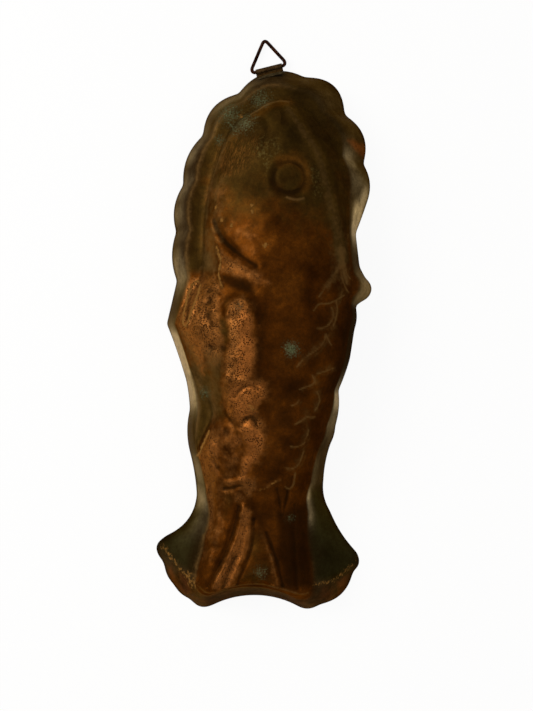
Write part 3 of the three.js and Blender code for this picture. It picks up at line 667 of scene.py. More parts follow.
def outerSurface():
    # rows run round the mould, columns from the rim up to the fish's crown
    sides = [sideStations(bellySide, -1), sideStations(backSide, 1)]
    middles = (sides[0][1][:, 1] + sides[1][1][:, 1]) / 2
    falls = np.concatenate([[0], np.maximum(0, middles[:-1] - middles[1:]) + mould["leastFall"]])
    crownY = mix(*mould["crownEnds"], np.cumsum(falls) / falls.sum())
    crown = np.stack([fishAt(crownPlace, crownY), crownY], 1)
    walls = np.linspace(0, 1, mould["wallColumns"] + 1)
    ledges = np.linspace(0, 1, mould["ledgeColumns"] + 1)[1:]
    rises = np.linspace(0, 1, mould["fishColumns"] + 1)[1:] ** mould["fishSpacing"]
    halves = []
    for rim, shoulder in sides:
        edge = edgeFraction(shoulder, crown)
        run = np.linalg.norm(crown - shoulder, axis=1)
        wallXY = mix(rim[:, None], shoulder[:, None], walls[None, :, None])
        wallRise = mould["ledgeHeight"] * (1 - (1 - walls) ** mould["wallRounding"])
        ledgeXY = mix(shoulder[:, None], crown[:, None], (ledges * edge[:, None])[..., None])
        fishXY = mix(shoulder[:, None], crown[:, None], mix(edge[:, None], 1, rises)[..., None])
        x, y = fishXY[..., 0], fishXY[..., 1]
        narrow = np.clip((edge * run - mould["leastLedge"]) / mould["narrowLedge"], 0, 1)[:, None]
        edgeRun = mix(mould["softRun"], mould["edgeRun"], narrow)
        step = mould["edgeStep"] * (1 - np.exp(-rises * ((1 - edge) * run)[:, None] / edgeRun))
        dome = (fishAt(crownHeight, y) - mould["edgeStep"]) * (1 - (1 - rises) ** 2)
        pressed = (relief(x, y) + handWork(x, y)) * np.minimum(1, mould["reliefFade"] * rises)
        z = np.concatenate([
            np.broadcast_to(wallRise, wallXY.shape[:2]),
            np.full(ledgeXY.shape[:2], mould["ledgeHeight"]),
            mould["ledgeHeight"] + step + dome + pressed,
        ], axis=1)
        xy = np.concatenate([wallXY, ledgeXY, fishXY], axis=1)
        halves.append(np.concatenate([xy, z[..., None]], axis=2))
    return np.concatenate([halves[0], halves[1][::-1][1:]])


def smoothRing(points):
    return (np.roll(points, 1, axis=0) + 2 * points + np.roll(points, -1, axis=0)) / 4


def roundCorners(surface):
    # the tool's radii: along the shoulder, at the fish's foot and where two scallops meet
    columns = np.arange(surface.shape[1])
    near = np.minimum(abs(columns - shoulderColumn), abs(columns - footColumn))
    start, fall = mould["cornerWeight"]
    weight = np.clip(start - near / fall, 0, 1)[None, :, None]
    for _ in range(mould["cornerSmoothing"]):
        middle = surface.copy()
        middle[:, 1:-1] = (surface[:, :-2] + 2 * surface[:, 1:-1] + surface[:, 2:]) / 4
        surface = mix(surface, middle, weight)
    start, fall = mould["cuspWeight"]
    onWall = np.clip(start - columns / footColumn * fall, 0, 1)[None, :, None]
    for _ in range(mould["cuspSmoothing"]):
        ring = mix(surface[:-1], smoothRing(surface[:-1]), onWall)
        surface = np.concatenate([ring, ring[:1]])
    return surface


def closeCrown(surface):
    # the two halves meet along the crown
    surface[:, -1] = (surface[:, -1] + surface[::-1, -1]) / 2
    return surface


def surfaceNormals(surface):
    cells = np.cross(surface[1:, :-1] - surface[:-1, 1:], surface[1:, 1:] - surface[:-1, :-1])
    normals = np.zeros(surface.shape)
    for du in (0, 1):
        for dv in (0, 1):
            normals[du:surface.shape[0] - 1 + du, dv:surface.shape[1] - 1 + dv] += cells
    normals[0] += normals[-1]
    normals[-1] = normals[0]
    normals[:, -1] += normals[::-1, -1].copy()
    normals /= np.maximum(np.linalg.norm(normals, axis=2, keepdims=True), 1e-12)
    return normals if normals[..., 2].sum() > 0 else -normals


def innerSurface(surface, normals):
    # the inside follows the fish without its finest lines, and always below them
    foot, rows = footColumn, mould["innerRows"]
    inner = surface - normals * mould["sheet"]
    lowest = inner[..., 2].copy()
    for shift in range(1, mould["innerReach"] + 1):
        lowest[:, foot:-shift] = np.minimum(lowest[:, foot:-shift], inner[:, foot + shift:, 2])
        lowest[:, foot + shift:] = np.minimum(lowest[:, foot + shift:], inner[:, foot:-shift, 2])
    low = np.minimum(np.minimum(np.roll(lowest, rows, axis=0), np.roll(lowest, -rows, axis=0)), lowest)
    inner[:, foot + 2:, 2] = low[:, foot + 2:]
    inner[:, foot + 2:, :2] = surface[:, foot + 2:, :2]
    inner = inner[:, mould["innerColumns"]]
    flat = normals[:, 0] * [1, 1, 0]
    reach = np.linalg.norm(flat, axis=1, keepdims=True)
    inset = mould["sheet"] * np.minimum(mould["mostInset"], 1 / reach)
    inner[:, 0] = surface[:, 0] - flat / reach * inset
    inner[:, 0, 2] = 0
    return inner


# the painted reflections on the wall, as a mask
def wallReflectionMask(surface):
    side = np.where(np.arange(surface.shape[0]) <= mould["stations"], -1, 1)[:, None]
    up = (np.arange(surface.shape[1]) / mould["wallColumns"])[None, :]
    wallReflection = np.zeros(surface.shape[:2])
    for which, low, high, fromUp, toUp, strength in paintedWallReflections:
        part = softBox(surface[..., 1], low, high, wear["reflectionEdge"])
        part = part * softBox(up, fromUp, toUp, wear["reflectionEdgeUp"]) * (side == which)
        wallReflection = np.maximum(wallReflection, strength * part)
    return wallReflection


def wearMasks(surface, normals):
    # four masks for each colour attribute: what each point of the copper is, and where light and shade are
    # painted on it
    x, y, z = np.moveaxis(surface, 2, 0)
    foot, columns = footColumn, np.arange(surface.shape[1])
    blurred = z.copy()
    for _ in range(wear["hollowBlurs"]):
        blurred[1:-1, foot + 1:-1] = (
            blurred[:-2, foot + 1:-1] + blurred[2:, foot + 1:-1]
            + blurred[1:-1, foot:-2] + blurred[1:-1, foot + 2:]
        ) / 4
    hollow = np.clip(0.5 + (z - blurred) * wear["hollowGain"], 0, 1)
    wallEdge = (shoulderColumn + wear["wallReach"] - columns) / wear["wallFade"]
    everywhere = np.ones(x.shape)
    wall = np.clip(wallEdge, 0, 1) * everywhere
    # a thin line of painted shade just inside the rim
    rimShadeLine = bell(columns, wear["lineColumns"]) * everywhere
    # corner: a painted highlight along the shoulder, strongest on the lamp's side
    shoulderHighlightPart = np.clip((wear["shoulderHighlightEnd"] - x) / wear["shoulderHighlightFade"], 0, 1) * wear["shoulderHighlightStrength"]
    corner = bell(columns - shoulderColumn, wear["lineColumns"]) * shoulderHighlightPart
    steep = np.clip(wear["steepStart"] - normals[..., 2] * wear["steepGain"], 0, 1)
    rubbed, olive, green, shade, verdigris, crust, paleTintAndHighlight, scratched, crumbs, goldenAndHighlight = (
        mask(places, x, y) for places in (
            rubbedPlaces, olivePlaces, greenPlaces, shadePlaces, verdigrisPlaces, crustPlaces, paleTintAndHighlightPlaces,
            scratchedPlaces, crumbPlaces, goldenAndHighlightPlaces))
    return {
        "tone": [rubbed * (1 - wall), olive, green * wall, shade],
        # the pale channel holds pale tints, painted highlights and the painted shoulder highlight
        "marks": [verdigris, crust, np.maximum(paleTintAndHighlight * (1 - wall), corner), hollow],
        "place": [wall, rimShadeLine, wallReflectionMask(surface) * wall, everywhere],
        "detail": [scratched, crumbs, goldenAndHighlight, steep * (1 - wall)],
    }


def deselectAll():
    if bpy.context.object and bpy.context.object.mode != "OBJECT":
        bpy.ops.object.mode_set(mode="OBJECT")
    bpy.ops.object.select_all(action="DESELECT")


def named(name):
    piece = bpy.context.object
    piece.name = name
    piece.data.name = name
    return piece


def vertexPlaces(piece):
    places = np.zeros(len(piece.data.vertices) * 3)
    piece.data.vertices.foreach_get("co", places)
    return places.reshape(-1, 3)


def moveVertices(piece, places):
    piece.data.vertices.foreach_set("co", np.asarray(places, float).ravel())
    piece.data.update()


def gridCount(place, last):
    # from a grid's own place, -1 to 1, to the number of the row or column
    return np.rint((place + 1) / 2 * last).astype(int)


def setAll(thing, settings):
    for key, value in settings.items():
        setattr(thing, key, value)


def applyModifier(piece, kind, settings):
    modifier = piece.modifiers.new(kind.lower(), kind)
    setAll(modifier, settings)
    bpy.ops.object.modifier_apply(modifier=modifier.name)


def tidyMesh(piece, angle):
    bpy.ops.object.mode_set(mode="EDIT")
    bpy.ops.mesh.select_all(action="SELECT")
    bpy.ops.mesh.remove_doubles(threshold=2e-6)
    bpy.ops.mesh.normals_make_consistent(inside=False)
    bpy.ops.object.mode_set(mode="OBJECT")
    bpy.ops.object.shade_smooth_by_angle(angle=math.radians(angle))
    print(f"{piece.name}: {len(piece.data.polygons)} faces")
    return piece


def makeShell():
    surface = closeCrown(roundCorners(outerSurface()))
    normals = surfaceNormals(surface)
    masks = wearMasks(surface, normals)
    inner = innerSurface(surface, normals)
    both = np.concatenate([inner[:, ::-1], surface], axis=1)
    lastRow, lastColumn = both.shape[0] - 1, both.shape[1] - 1
    deselectAll()
    bpy.ops.mesh.primitive_grid_add(x_subdivisions=lastRow, y_subdivisions=lastColumn, size=2)
    piece = named("mouldShell")
    flatPlaces = vertexPlaces(piece)
    u, v = gridCount(flatPlaces[:, 0], lastRow), gridCount(flatPlaces[:, 1], lastColumn)
    both[..., :2] += mould["shift"]
    low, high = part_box("mould_shell")
    both = np.clip(both * mm, np.array(low), np.array(high))

    centres = np.zeros(len(piece.data.polygons) * 3)
    piece.data.polygons.foreach_get("center", centres)
    isInner = (centres.reshape(-1, 3)[:, 1] + 1) / 2 * lastColumn < inner.shape[1] - 1
    piece.data.polygons.foreach_set("material_index", isInner.astype(np.int32))
    moveVertices(piece, both[u, v])
    for name, channels in masks.items():
        # the inside takes its values from the outside just above it
        channels = np.clip(np.stack(channels, 2), 0, 2).astype(np.float32)
        channels = np.concatenate([channels[:, mould["innerColumns"]][:, ::-1], channels], axis=1)
        attribute = piece.data.attributes.new(name, "FLOAT_COLOR", "POINT")
        attribute.data.foreach_set("color", channels[u, v].ravel())
    return tidyMesh(piece, mould["smoothAngle"])


# the strip folded round the wire, the wire and the solder, in millimetres
strap = {
    "length": 18.8,
    "leaf": 0.6,
    "shownLeaf": 0.5,
    "leafHeight": 9.0,
    "lowestLeaf": 0.5,
    "clearance": 0.35,
    "gap": 0.35,
    "centreZ": 2.9,
    "wallHeight": 0.4,
    "arcPoints": 40,
    "leafPoints": 14,
    "across": 24,
    "bevel": 0.12,
    "wander": (0.12, 0.1),
    "wanderTurns": (0.37, 0.11),
    "smoothAngle": 40,
}
wire = {
    "radius": 1.2,
    "solidRadius": 1.05,
    "legStart": 9.4,
    "cornerAlong": 12.62,
    "bendOut": 3.4,
    "bendAlong": 11.64,
    "apexOut": 21.8,
    "apexAlong": 1.5,
    "apexBend": 0.16,
    "droop": 4.2,
    "waver": 0.01,
    "waverTurns": (0.5, 0.23),
    "stations": 132,
    "sides": 16,
    "bendSteps": 12,
    "apexSteps": 14,
    "smoothAngle": 60,
}
solder = {
    "width": 20.0,
    "height": 3.1,
    "thickness": 1.45,
    "flatten": 0.85,
    "lean": 0.35,
    "sink": 0.2,
    "tuck": 0.25,
    "endPower": 0.8,
    "lumps": (0.12, 0.08),
    "lumpTurns": (1.1, 2.7),
    "segments": 36,
    "rings": 20,
    "smoothAngle": 60,
}

headRim = np.array(bellySide[0][:2], float)
strapTurn = math.atan2(backSide[1][1] - bellySide[1][1], backSide[1][0] - bellySide[1][0])
wallInset = math.dist(bellySide[0][:2], bellySide[0][3:])
wallUp = np.array([
    -wallInset * strap["wallHeight"],
    mould["ledgeHeight"] * (1 - (1 - strap["wallHeight"]) ** mould["wallRounding"]),
])
wallUp /= np.linalg.norm(wallUp)
wallOut = np.array([wallUp[1], -wallUp[0]])
barrelInner = wire["solidRadius"] + strap["clearance"]
barrelOuter = barrelInner + strap["leaf"]
barrelCentre = wallOut * (strap["gap"] + barrelOuter)
barrelCentre = barrelCentre + wallUp * (strap["centreZ"] - barrelCentre[1]) / wallUp[1]
leavesTop = math.sqrt(barrelOuter**2 - (barrelOuter - 2 * strap["leaf"]) ** 2) + strap["leafHeight"]


def atHanger(along, out, up):
    # from (along the strap, out from the rim, up) to the frame, in metres
    alongWay = np.array([math.cos(strapTurn), math.sin(strapTurn)])
    outWay = np.array([-math.sin(strapTurn), math.cos(strapTurn)])
    xy = headRim + mould["shift"] + np.multiply.outer(along, alongWay) + np.multiply.outer(out, outWay)
    return np.concatenate([xy, np.asarray(up, float)[..., None]], axis=-1) * mm


def besideWall(up, out):
    # from (up the wall, out from its face) to (out from the rim, up)
    outward = np.multiply.outer(np.asarray(out) - barrelOuter, wallOut)
    place = barrelCentre + np.multiply.outer(up, wallUp) + outward
    return place[..., 0], place[..., 1]


def makeStrap():
    leaf, count = strap["leaf"], strap["leafPoints"]
    radius = barrelInner + leaf / 2
    joint = math.acos((barrelOuter - 1.5 * leaf) / radius)
    turn = np.linspace(math.pi, math.pi * 3 - joint, strap["arcPoints"])
    arcUp, arcOut = radius * np.sin(turn), barrelOuter + radius * np.cos(turn)
    innerUp = np.linspace(leavesTop, strap["lowestLeaf"], count)
    outerUp = np.linspace(arcUp[-1] + strap["lowestLeaf"], leavesTop - strap["lowestLeaf"], count)
    up = np.concatenate([innerUp, arcUp, outerUp])
    out = np.concatenate([np.full(count, leaf / 2), arcOut, np.full(count, leaf * 1.5)])
    deselectAll()
    bpy.ops.mesh.primitive_grid_add(x_subdivisions=strap["across"], y_subdivisions=len(up) - 1, size=2)
    piece = named("hangerStrap")
    flatPlaces = vertexPlaces(piece)
    v = gridCount(flatPlaces[:, 1], len(up) - 1)
    along = flatPlaces[:, 0] * strap["length"] / 2
    # the two cut ends aren't quite straight
    (slow, fast), (slowTurn, fastTurn) = strap["wander"], strap["wanderTurns"]
    wander = slow * np.sin(v * slowTurn) + fast * np.sin(v * fastTurn + 2)
    along = along + np.sign(along) * np.abs(flatPlaces[:, 0]) ** 6 * wander
    outRim, height = besideWall(up[v], out[v])
    moveVertices(piece, atHanger(along, outRim, height))
    applyModifier(piece, "SOLIDIFY", {"thickness": strap["shownLeaf"] * mm, "offset": 0})
    applyModifier(piece, "BEVEL", {"width": strap["bevel"] * mm, "segments": 2, "limit_method": "ANGLE"})
    return tidyMesh(piece, strap["smoothAngle"])


def bend(start, corner, end, steps):
    t = np.linspace(0, 1, steps)[:, None]
    return (1 - t) ** 2 * start + 2 * t * (1 - t) * corner + t**2 * end


def wirePath():
    right = np.array([wire["bendAlong"], wire["bendOut"]])
    apex = np.array([wire["apexAlong"], wire["apexOut"]])
    start = np.array([wire["legStart"], 0.0])
    corner = np.array([wire["cornerAlong"], 0.0])
    mirror = [-1, 1]
    nearRight, nearLeft = (mix(apex, place, wire["apexBend"]) for place in (right, right * mirror))
    path = np.concatenate([
        [start * mirror],
        bend(start, corner, right, wire["bendSteps"]),
        bend(nearRight, apex, nearLeft, wire["apexSteps"]),
        bend(right * mirror, corner * mirror, start * mirror, wire["bendSteps"]),
    ])
    lengths = np.concatenate([[0], np.cumsum(np.linalg.norm(np.diff(path, axis=0), axis=1))])
    even = np.linspace(0, lengths[-1], wire["stations"] + 1)[:-1]
    return np.stack([np.interp(even, lengths, path[:, 0]), np.interp(even, lengths, path[:, 1])], 1)


def makeLoop():
    path = smoothRing(smoothRing(wirePath()))
    way = np.roll(path, -1, axis=0) - np.roll(path, 1, axis=0)
    way /= np.linalg.norm(way, axis=1, keepdims=True)
    deselectAll()
    bpy.ops.mesh.primitive_torus_add(
        major_radius=1, minor_radius=0.1, major_segments=wire["stations"], minor_segments=wire["sides"])
    piece = named("hangerLoop")
    ring = vertexPlaces(piece)
    turns = np.arctan2(ring[:, 1], ring[:, 0]) / (2 * math.pi)
    station = np.rint(turns * wire["stations"]).astype(int) % wire["stations"]
    turn = np.arctan2(ring[:, 2], np.hypot(ring[:, 0], ring[:, 1]) - 1)
    waver = np.sin(station * wire["waverTurns"][0]) + np.sin(station * wire["waverTurns"][1] + turn)
    radius = wire["radius"] * (1 - wire["waver"] * waver)
    side, lift = radius * np.cos(turn), radius * np.sin(turn)
    along = path[station, 0] + way[station, 1] * side
    out = path[station, 1] - way[station, 0] * side
    droop = math.radians(wire["droop"])
    outRim = barrelCentre[0] + out * math.cos(droop) + lift * math.sin(droop)
    height = barrelCentre[1] - out * math.sin(droop) + lift * math.cos(droop)
    moveVertices(piece, atHanger(along, outRim, height))
    return tidyMesh(piece, wire["smoothAngle"])


def makeSolder():
    deselectAll()
    bpy.ops.mesh.primitive_uv_sphere_add(segments=solder["segments"], ring_count=solder["rings"], radius=1)
    piece = named("strapSolder")
    ball = vertexPlaces(piece)
    along = np.sign(ball[:, 2]) * np.abs(ball[:, 2]) ** solder["endPower"] * solder["width"] / 2
    (low, high), (lowTurn, highTurn) = solder["lumps"], solder["lumpTurns"]
    lumps = 1 + low * np.sin(along * lowTurn) + high * np.sin(along * highTurn + 1)
    half = solder["height"] / 2
    up = leavesTop - solder["sink"] + half + ball[:, 0] * half * (0.9 + 0.1 * lumps)
    thickness = solder["thickness"] * solder["flatten"] * lumps * (1 - solder["lean"] * ball[:, 0])
    out = np.clip(ball[:, 1], 0, 1) * thickness
    outRim, height = besideWall(up, out - solder["tuck"] * (ball[:, 1] <= 0))
    moveVertices(piece, atHanger(along, outRim, height))
    return tidyMesh(piece, solder["smoothAngle"])


def feed(tree, node, inputs):
    # a plain value is set on its socket, and another node's output is linked to it
    for key, value in inputs.items():
        if isinstance(value, bpy.types.NodeSocket):
            tree.links.new(value, node.inputs[key])
        else:
            node.inputs[key].default_value = value


def addNode(tree, kind, inputs, **settings):
    node = tree.nodes.new(kind)
    setAll(node, settings)
    feed(tree, node, inputs)
    return node


def mathNode(tree, operation, a, b, clamp=False):
    return addNode(tree, "ShaderNodeMath", {0: a, 1: b}, operation=operation, use_clamp=clamp).outputs[0]


def colourMix(tree, mask, a, b):
    return addNode(tree, "ShaderNodeMix", {0: mask, 6: a, 7: b}, data_type="RGBA").outputs[2]


def valueMix(tree, mask, a, b):
    return addNode(tree, "ShaderNodeMix", {0: mask, 2: a, 3: b}, data_type="FLOAT").outputs[0]


def paint(red, green, blue):
    # a colour as it looks on a screen, from 0 to 255, as the linear one that a shader takes
    linear = (((c / 255 + 0.055) / 1.055) ** 2.4 if c > 10 else c / 255 / 12.92 for c in (red, green, blue))
    return (*linear, 1.0)


def objectPlace(tree):
    return addNode(tree, "ShaderNodeTexCoord", {}).outputs["Object"]


def noiseNode(tree, inputs):
    return addNode(tree, "ShaderNodeTexNoise", inputs).outputs[0]


def newGroup(name, inputs, outputs):
    group = bpy.data.node_groups.new(name, "ShaderNodeTree")
    for label, value in inputs.items():
        kind = "NodeSocketVector" if isinstance(value, tuple) else "NodeSocketFloat"
        socket = group.interface.new_socket(name=label, in_out="INPUT", socket_type=kind)
        socket.default_value = value
    for label in outputs:
        group.interface.new_socket(name=label, in_out="OUTPUT", socket_type="NodeSocketFloat")
    return group, addNode(group, "NodeGroupInput", {}).outputs, addNode(group, "NodeGroupOutput", {})


def useGroup(tree, group, inputs):
    return addNode(tree, "ShaderNodeGroup", inputs, node_tree=group).outputs


# a soft mask broken up by noise, so that its edge looks grown and not drawn
brokenMask, start, end = newGroup(
    "brokenMask", {"Mask": 0.0, "Scale": 200.0, "Spread": 0.8, "Softness": 0.15}, ["Mask"])
offset = noiseNode(brokenMask, {
    "Vector": objectPlace(brokenMask), "Scale": start["Scale"], "Detail": 4.0, "Roughness": 0.62})
offset = mathNode(brokenMask, "SUBTRACT", offset, 0.5)
offset = mathNode(brokenMask, "MULTIPLY", offset, start["Spread"])
offset = mathNode(brokenMask, "MULTIPLY", offset, 2.0)
ramp = addNode(brokenMask, "ShaderNodeMapRange", {
    "Value": mathNode(brokenMask, "ADD", start["Mask"], offset),
    "From Min": mathNode(brokenMask, "SUBTRACT", 0.5, start["Softness"]),
    "From Max": mathNode(brokenMask, "ADD", 0.5, start["Softness"]),
}, interpolation_type="SMOOTHSTEP")
present = mathNode(brokenMask, "MULTIPLY", start["Mask"], 8.0, clamp=True)
feed(brokenMask, end, {"Mask": mathNode(brokenMask, "MULTIPLY", ramp.outputs[0], present)})

# small corroded pits, more of them where Amount is high
pitting, start, end = newGroup("pitting", {"Amount": 0.5, "Scale": 500.0}, ["Pits", "Height"])
place = objectPlace(pitting)
cells = addNode(pitting, "ShaderNodeTexVoronoi", {"Vector": place, "Scale": start["Scale"]}, feature="F1")
patch = addNode(pitting, "ShaderNodeMapRange", {
    "Value": noiseNode(pitting, {"Vector": place, "Scale": 170.0, "Detail": 3.0}),
    "From Min": 0.36, "From Max": 0.56, "To Min": 0.6})
reach = mathNode(pitting, "MULTIPLY", patch.outputs[0], start["Amount"])
reach = mathNode(pitting, "MULTIPLY", reach, 0.54)
depth = mathNode(pitting, "SUBTRACT", reach, cells.outputs["Distance"])
depth = mathNode(pitting, "MULTIPLY", depth, 6.0, clamp=True)
feed(pitting, end, {"Pits": depth, "Height": mathNode(pitting, "MULTIPLY", depth, -1.0)})

# slow and fast changes of tone over a whole surface
mottle, start, end = newGroup("mottle", {"Scale": 60.0, "Contrast": 1.5}, ["Value", "Fine"])
place = objectPlace(mottle)
centred = noiseNode(mottle, {"Vector": place, "Scale": start["Scale"], "Detail": 5.0, "Roughness": 0.6})
centred = mathNode(mottle, "SUBTRACT", centred, 0.5)
centred = mathNode(mottle, "MULTIPLY", centred, start["Contrast"])
fineScale = mathNode(mottle, "MULTIPLY", start["Scale"], 30.0)
feed(mottle, end, {
    "Value": mathNode(mottle, "ADD", centred, 0.5, clamp=True),
    "Fine": noiseNode(mottle, {"Vector": place, "Scale": fineScale, "Detail": 3.0, "Roughness": 0.7}),
})

# long thin marks of wear that run one way, turned by Turn round the upright axis
streaks, start, end = newGroup("streaks", {"Turn": (0.0, 0.0, 0.0), "Scale": (60.0, 600.0, 60.0)}, ["Value"])
turned = addNode(streaks, "ShaderNodeMapping", {"Vector": objectPlace(streaks), "Rotation": start["Turn"]})
stretched = addNode(streaks, "ShaderNodeMapping", {"Vector": turned.outputs[0], "Scale": start["Scale"]})
lines = noiseNode(streaks, {"Vector": stretched.outputs[0], "Scale": 1.0, "Detail": 3.0, "Distortion": 2.2})
ramp = addNode(streaks, "ShaderNodeMapRange", {"Value": lines, "From Min": 0.44, "From Max": 0.62})
feed(streaks, end, {"Value": ramp.outputs[0]})

# what the copper, solder and iron surfaces share: no clear gloss, and a warm dark edge
tarnished = {"Specular Tint": (0.54, 0.45, 0.35, 1.0), "Specular IOR Level": 0.0}


def newMaterial(name, inputs):
    material = bpy.data.materials.new(name)
    material.use_nodes = True
    shader = material.node_tree.nodes["Principled BSDF"]
    feed(material.node_tree, shader, inputs)
    return material, material.node_tree, shader


def bump(tree, height, distance, strength):
    inputs = {"Height": height, "Distance": distance * mm, "Strength": strength}
    return addNode(tree, "ShaderNodeBump", inputs).outputs[0]


def masksOf(tree, name):
    attribute = addNode(tree, "ShaderNodeAttribute", {}, attribute_name=name)
    parts = addNode(tree, "ShaderNodeSeparateColor", {0: attribute.outputs["Color"]})
    return list(parts.outputs)[:3] + [attribute.outputs["Alpha"]]


copper = {
    "metallic": 0.8,  # this and the roughness only count where their links below can't be baked
    "roughness": 0.4,
    "bodyDark": (54, 24, 2),
    "body": (102, 54, 10),
    "rubbedDark": (108, 62, 21),
    "rubbed": (166, 107, 53),
    "oliveDark": (48, 34, 10),
    "olive": (78, 56, 19),
    "greenDark": (31, 28, 9),
    "green": (56, 52, 28),
    "wallDark": (52, 40, 20),
    "wall": (92, 72, 44),
    "verdigrisDark": (50, 48, 26),
    "verdigris": (100, 104, 74),
    "goldenAndHighlight": (128, 72, 18),
    "rubbedGolden": (188, 112, 50),
    "oliveGoldenAndHighlight": (122, 74, 22),
    "wallGoldenAndReflection": (150, 80, 36),
    # the colour of the painted reflections on the wall
    "wallReflectionTone": (236, 206, 152),
    "crumb": (112, 94, 48),
    "shade": (30, 13, 2),
    # the dark of grime and hollows, also used for the painted shade along the rim
    "dirtAndShade": (26, 15, 4),
    "pit": (40, 17, 3),
    "paleTintAndHighlight": (104, 76, 40),
    "crust": (126, 88, 40),
    "streak": (120, 78, 32),
}


def copperMaterial():
    constants = {"Metallic": copper["metallic"], "Roughness": copper["roughness"]}
    material, tree, shader = newMaterial("oldCopper", {**constants, **tarnished})
    rubbed, olive, green, shade = masksOf(tree, "tone")
    verdigris, crust, paleTintAndHighlight, hollow = masksOf(tree, "marks")
    wall, rimShadeLine, wallReflection, _ = masksOf(tree, "place")
    scratched, crumbs, goldenAndHighlight, steep = masksOf(tree, "detail")
    slow, fine = useGroup(tree, mottle, {"Scale": 42.0, "Contrast": 2.6})

    def times(a, b, clamp=False):
        return mathNode(tree, "MULTIPLY", a, b, clamp)

    def broken(source, scale, spread, softness):
        inputs = {"Mask": source, "Scale": scale, "Spread": spread, "Softness": softness}
        return useGroup(tree, brokenMask, inputs)[0]

    def toned(share, name):
        return colourMix(tree, share, paint(*copper[name + "Dark"]), paint(*copper[name]))

    def layered(colour, layers):
        # each layer: where it lies, how much of it shows, and its tone or the name of its colour
        for where, share, tone in layers:
            tone = paint(*copper[tone]) if isinstance(tone, str) else tone
            colour = colourMix(tree, where if share == 1 else times(where, share), colour, tone)
        return colour

    def valued(value, layers):
        for where, other in layers:
            value = valueMix(tree, where, value, other)
        return value

    rubbedMask = broken(rubbed, 200.0, 0.75, 0.45)
    oliveMask = broken(olive, 90.0, 0.5, 0.4)
    crustMask = broken(crust, 520.0, 1.3, 0.3)
    paleTintAndHighlightMask = broken(paleTintAndHighlight, 300.0, 0.55, 0.5)
    shadeMask = broken(shade, 110.0, 0.35, 0.5)
    crumbMask = broken(times(crumbs, 0.5), 560.0, 1.3, 0.3)
    greenSpots = broken(verdigris, 820.0, 1.1, 0.4)
    goldenAndHighlightMask = times(broken(goldenAndHighlight, 120.0, 0.5, 0.5), valueMix(tree, slow, 0.35, 0.95))
    pitAmount = mathNode(tree, "ADD", times(rubbedMask, 0.88), 0.12)
    pits = useGroup(tree, pitting, {"Amount": pitAmount, "Scale": 960.0})
    rakeTurn = (0, 0, math.radians(-72))
    rake = times(useGroup(tree, streaks, {"Turn": rakeTurn, "Scale": (110.0, 700.0, 60.0)})[0], scratched)
    fineRange = {"Value": fine, "From Min": 0.36, "From Max": 0.64}
    speckle = addNode(tree, "ShaderNodeMapRange", fineRange).outputs[0]
    patches = useGroup(tree, mottle, {"Scale": 150.0, "Contrast": 3.0})[0]
    grain = useGroup(tree, mottle, {"Scale": 430.0, "Contrast": 3.4})[0]
    low = times(mathNode(tree, "SUBTRACT", 0.42, hollow), 1.6, clamp=True)
    matt = mathNode(tree, "MAXIMUM", greenSpots, crustMask)

    # golden patches on the olive, with the painted highlight on the eye's ring
    oliveTone = layered(toned(slow, "olive"), [
        (goldenAndHighlightMask, 0.6, "oliveGoldenAndHighlight"), (rake, 0.9, "streak"), (crumbMask, 0.75, "crumb")])
    # golden patches on the wall, and the painted reflection on its lobe
    wallTone = layered(toned(slow, "wall"), [(goldenAndHighlightMask, 0.9, "wallGoldenAndReflection")])
    rubbedTone = layered(toned(speckle, "rubbed"), [(goldenAndHighlight, 0.8, "rubbedGolden")])
    colour = layered(toned(slow, "body"), [
        # golden patches, and the painted highlights among them
        (goldenAndHighlightMask, 1, "goldenAndHighlight"),
        (oliveMask, 1, oliveTone),
        (wall, 1, wallTone),
        (green, 1, toned(slow, "green")),
        # painted reflections on the wall
        (wallReflection, 1, "wallReflectionTone"),
        (rubbedMask, 1, rubbedTone),
        (shadeMask, 0.8, "shade"),
        (pits["Pits"], 0.85, "pit"),
        (grain, 0.34, "dirtAndShade"),
        (patches, 0.32, "dirtAndShade"),
        (speckle, 0.3, "dirtAndShade"),
        (low, 1, "dirtAndShade"),
        # pale tints and painted highlights on ridges and edges
        (paleTintAndHighlightMask, 0.7, "paleTintAndHighlight"),
        (crustMask, 0.85, "crust"),
        (greenSpots, 1, toned(speckle, "verdigris")),
        # painted shade along the rim
        (rimShadeLine, 0.8, "dirtAndShade"),
    ])
    metal = valued(0.85, [
        (oliveMask, 0.75), (wall, 1.0), (steep, 0.0), (times(shade, 1.3, clamp=True), 0.0), (matt, 0.1)])
    rough = valued(valueMix(tree, slow, 0.36, 0.48), [
        (oliveMask, 0.5), (wall, 0.56), (shade, 0.62), (wallReflection, 0.34), (steep, 0.7), (matt, 0.85)])
    height = mathNode(tree, "ADD", pits["Height"], times(fine, 0.5))
    height = mathNode(tree, "ADD", height, times(rake, 0.8))
    raised = mathNode(tree, "MAXIMUM", matt, times(crumbMask, 0.5))
    height = mathNode(tree, "ADD", height, times(raised, times(fine, 1.5)))
    feed(tree, shader, {
        "Base Color": colour, "Metallic": metal, "Roughness": rough, "Normal": bump(tree, height, 0.25, 0.8)})
    return material


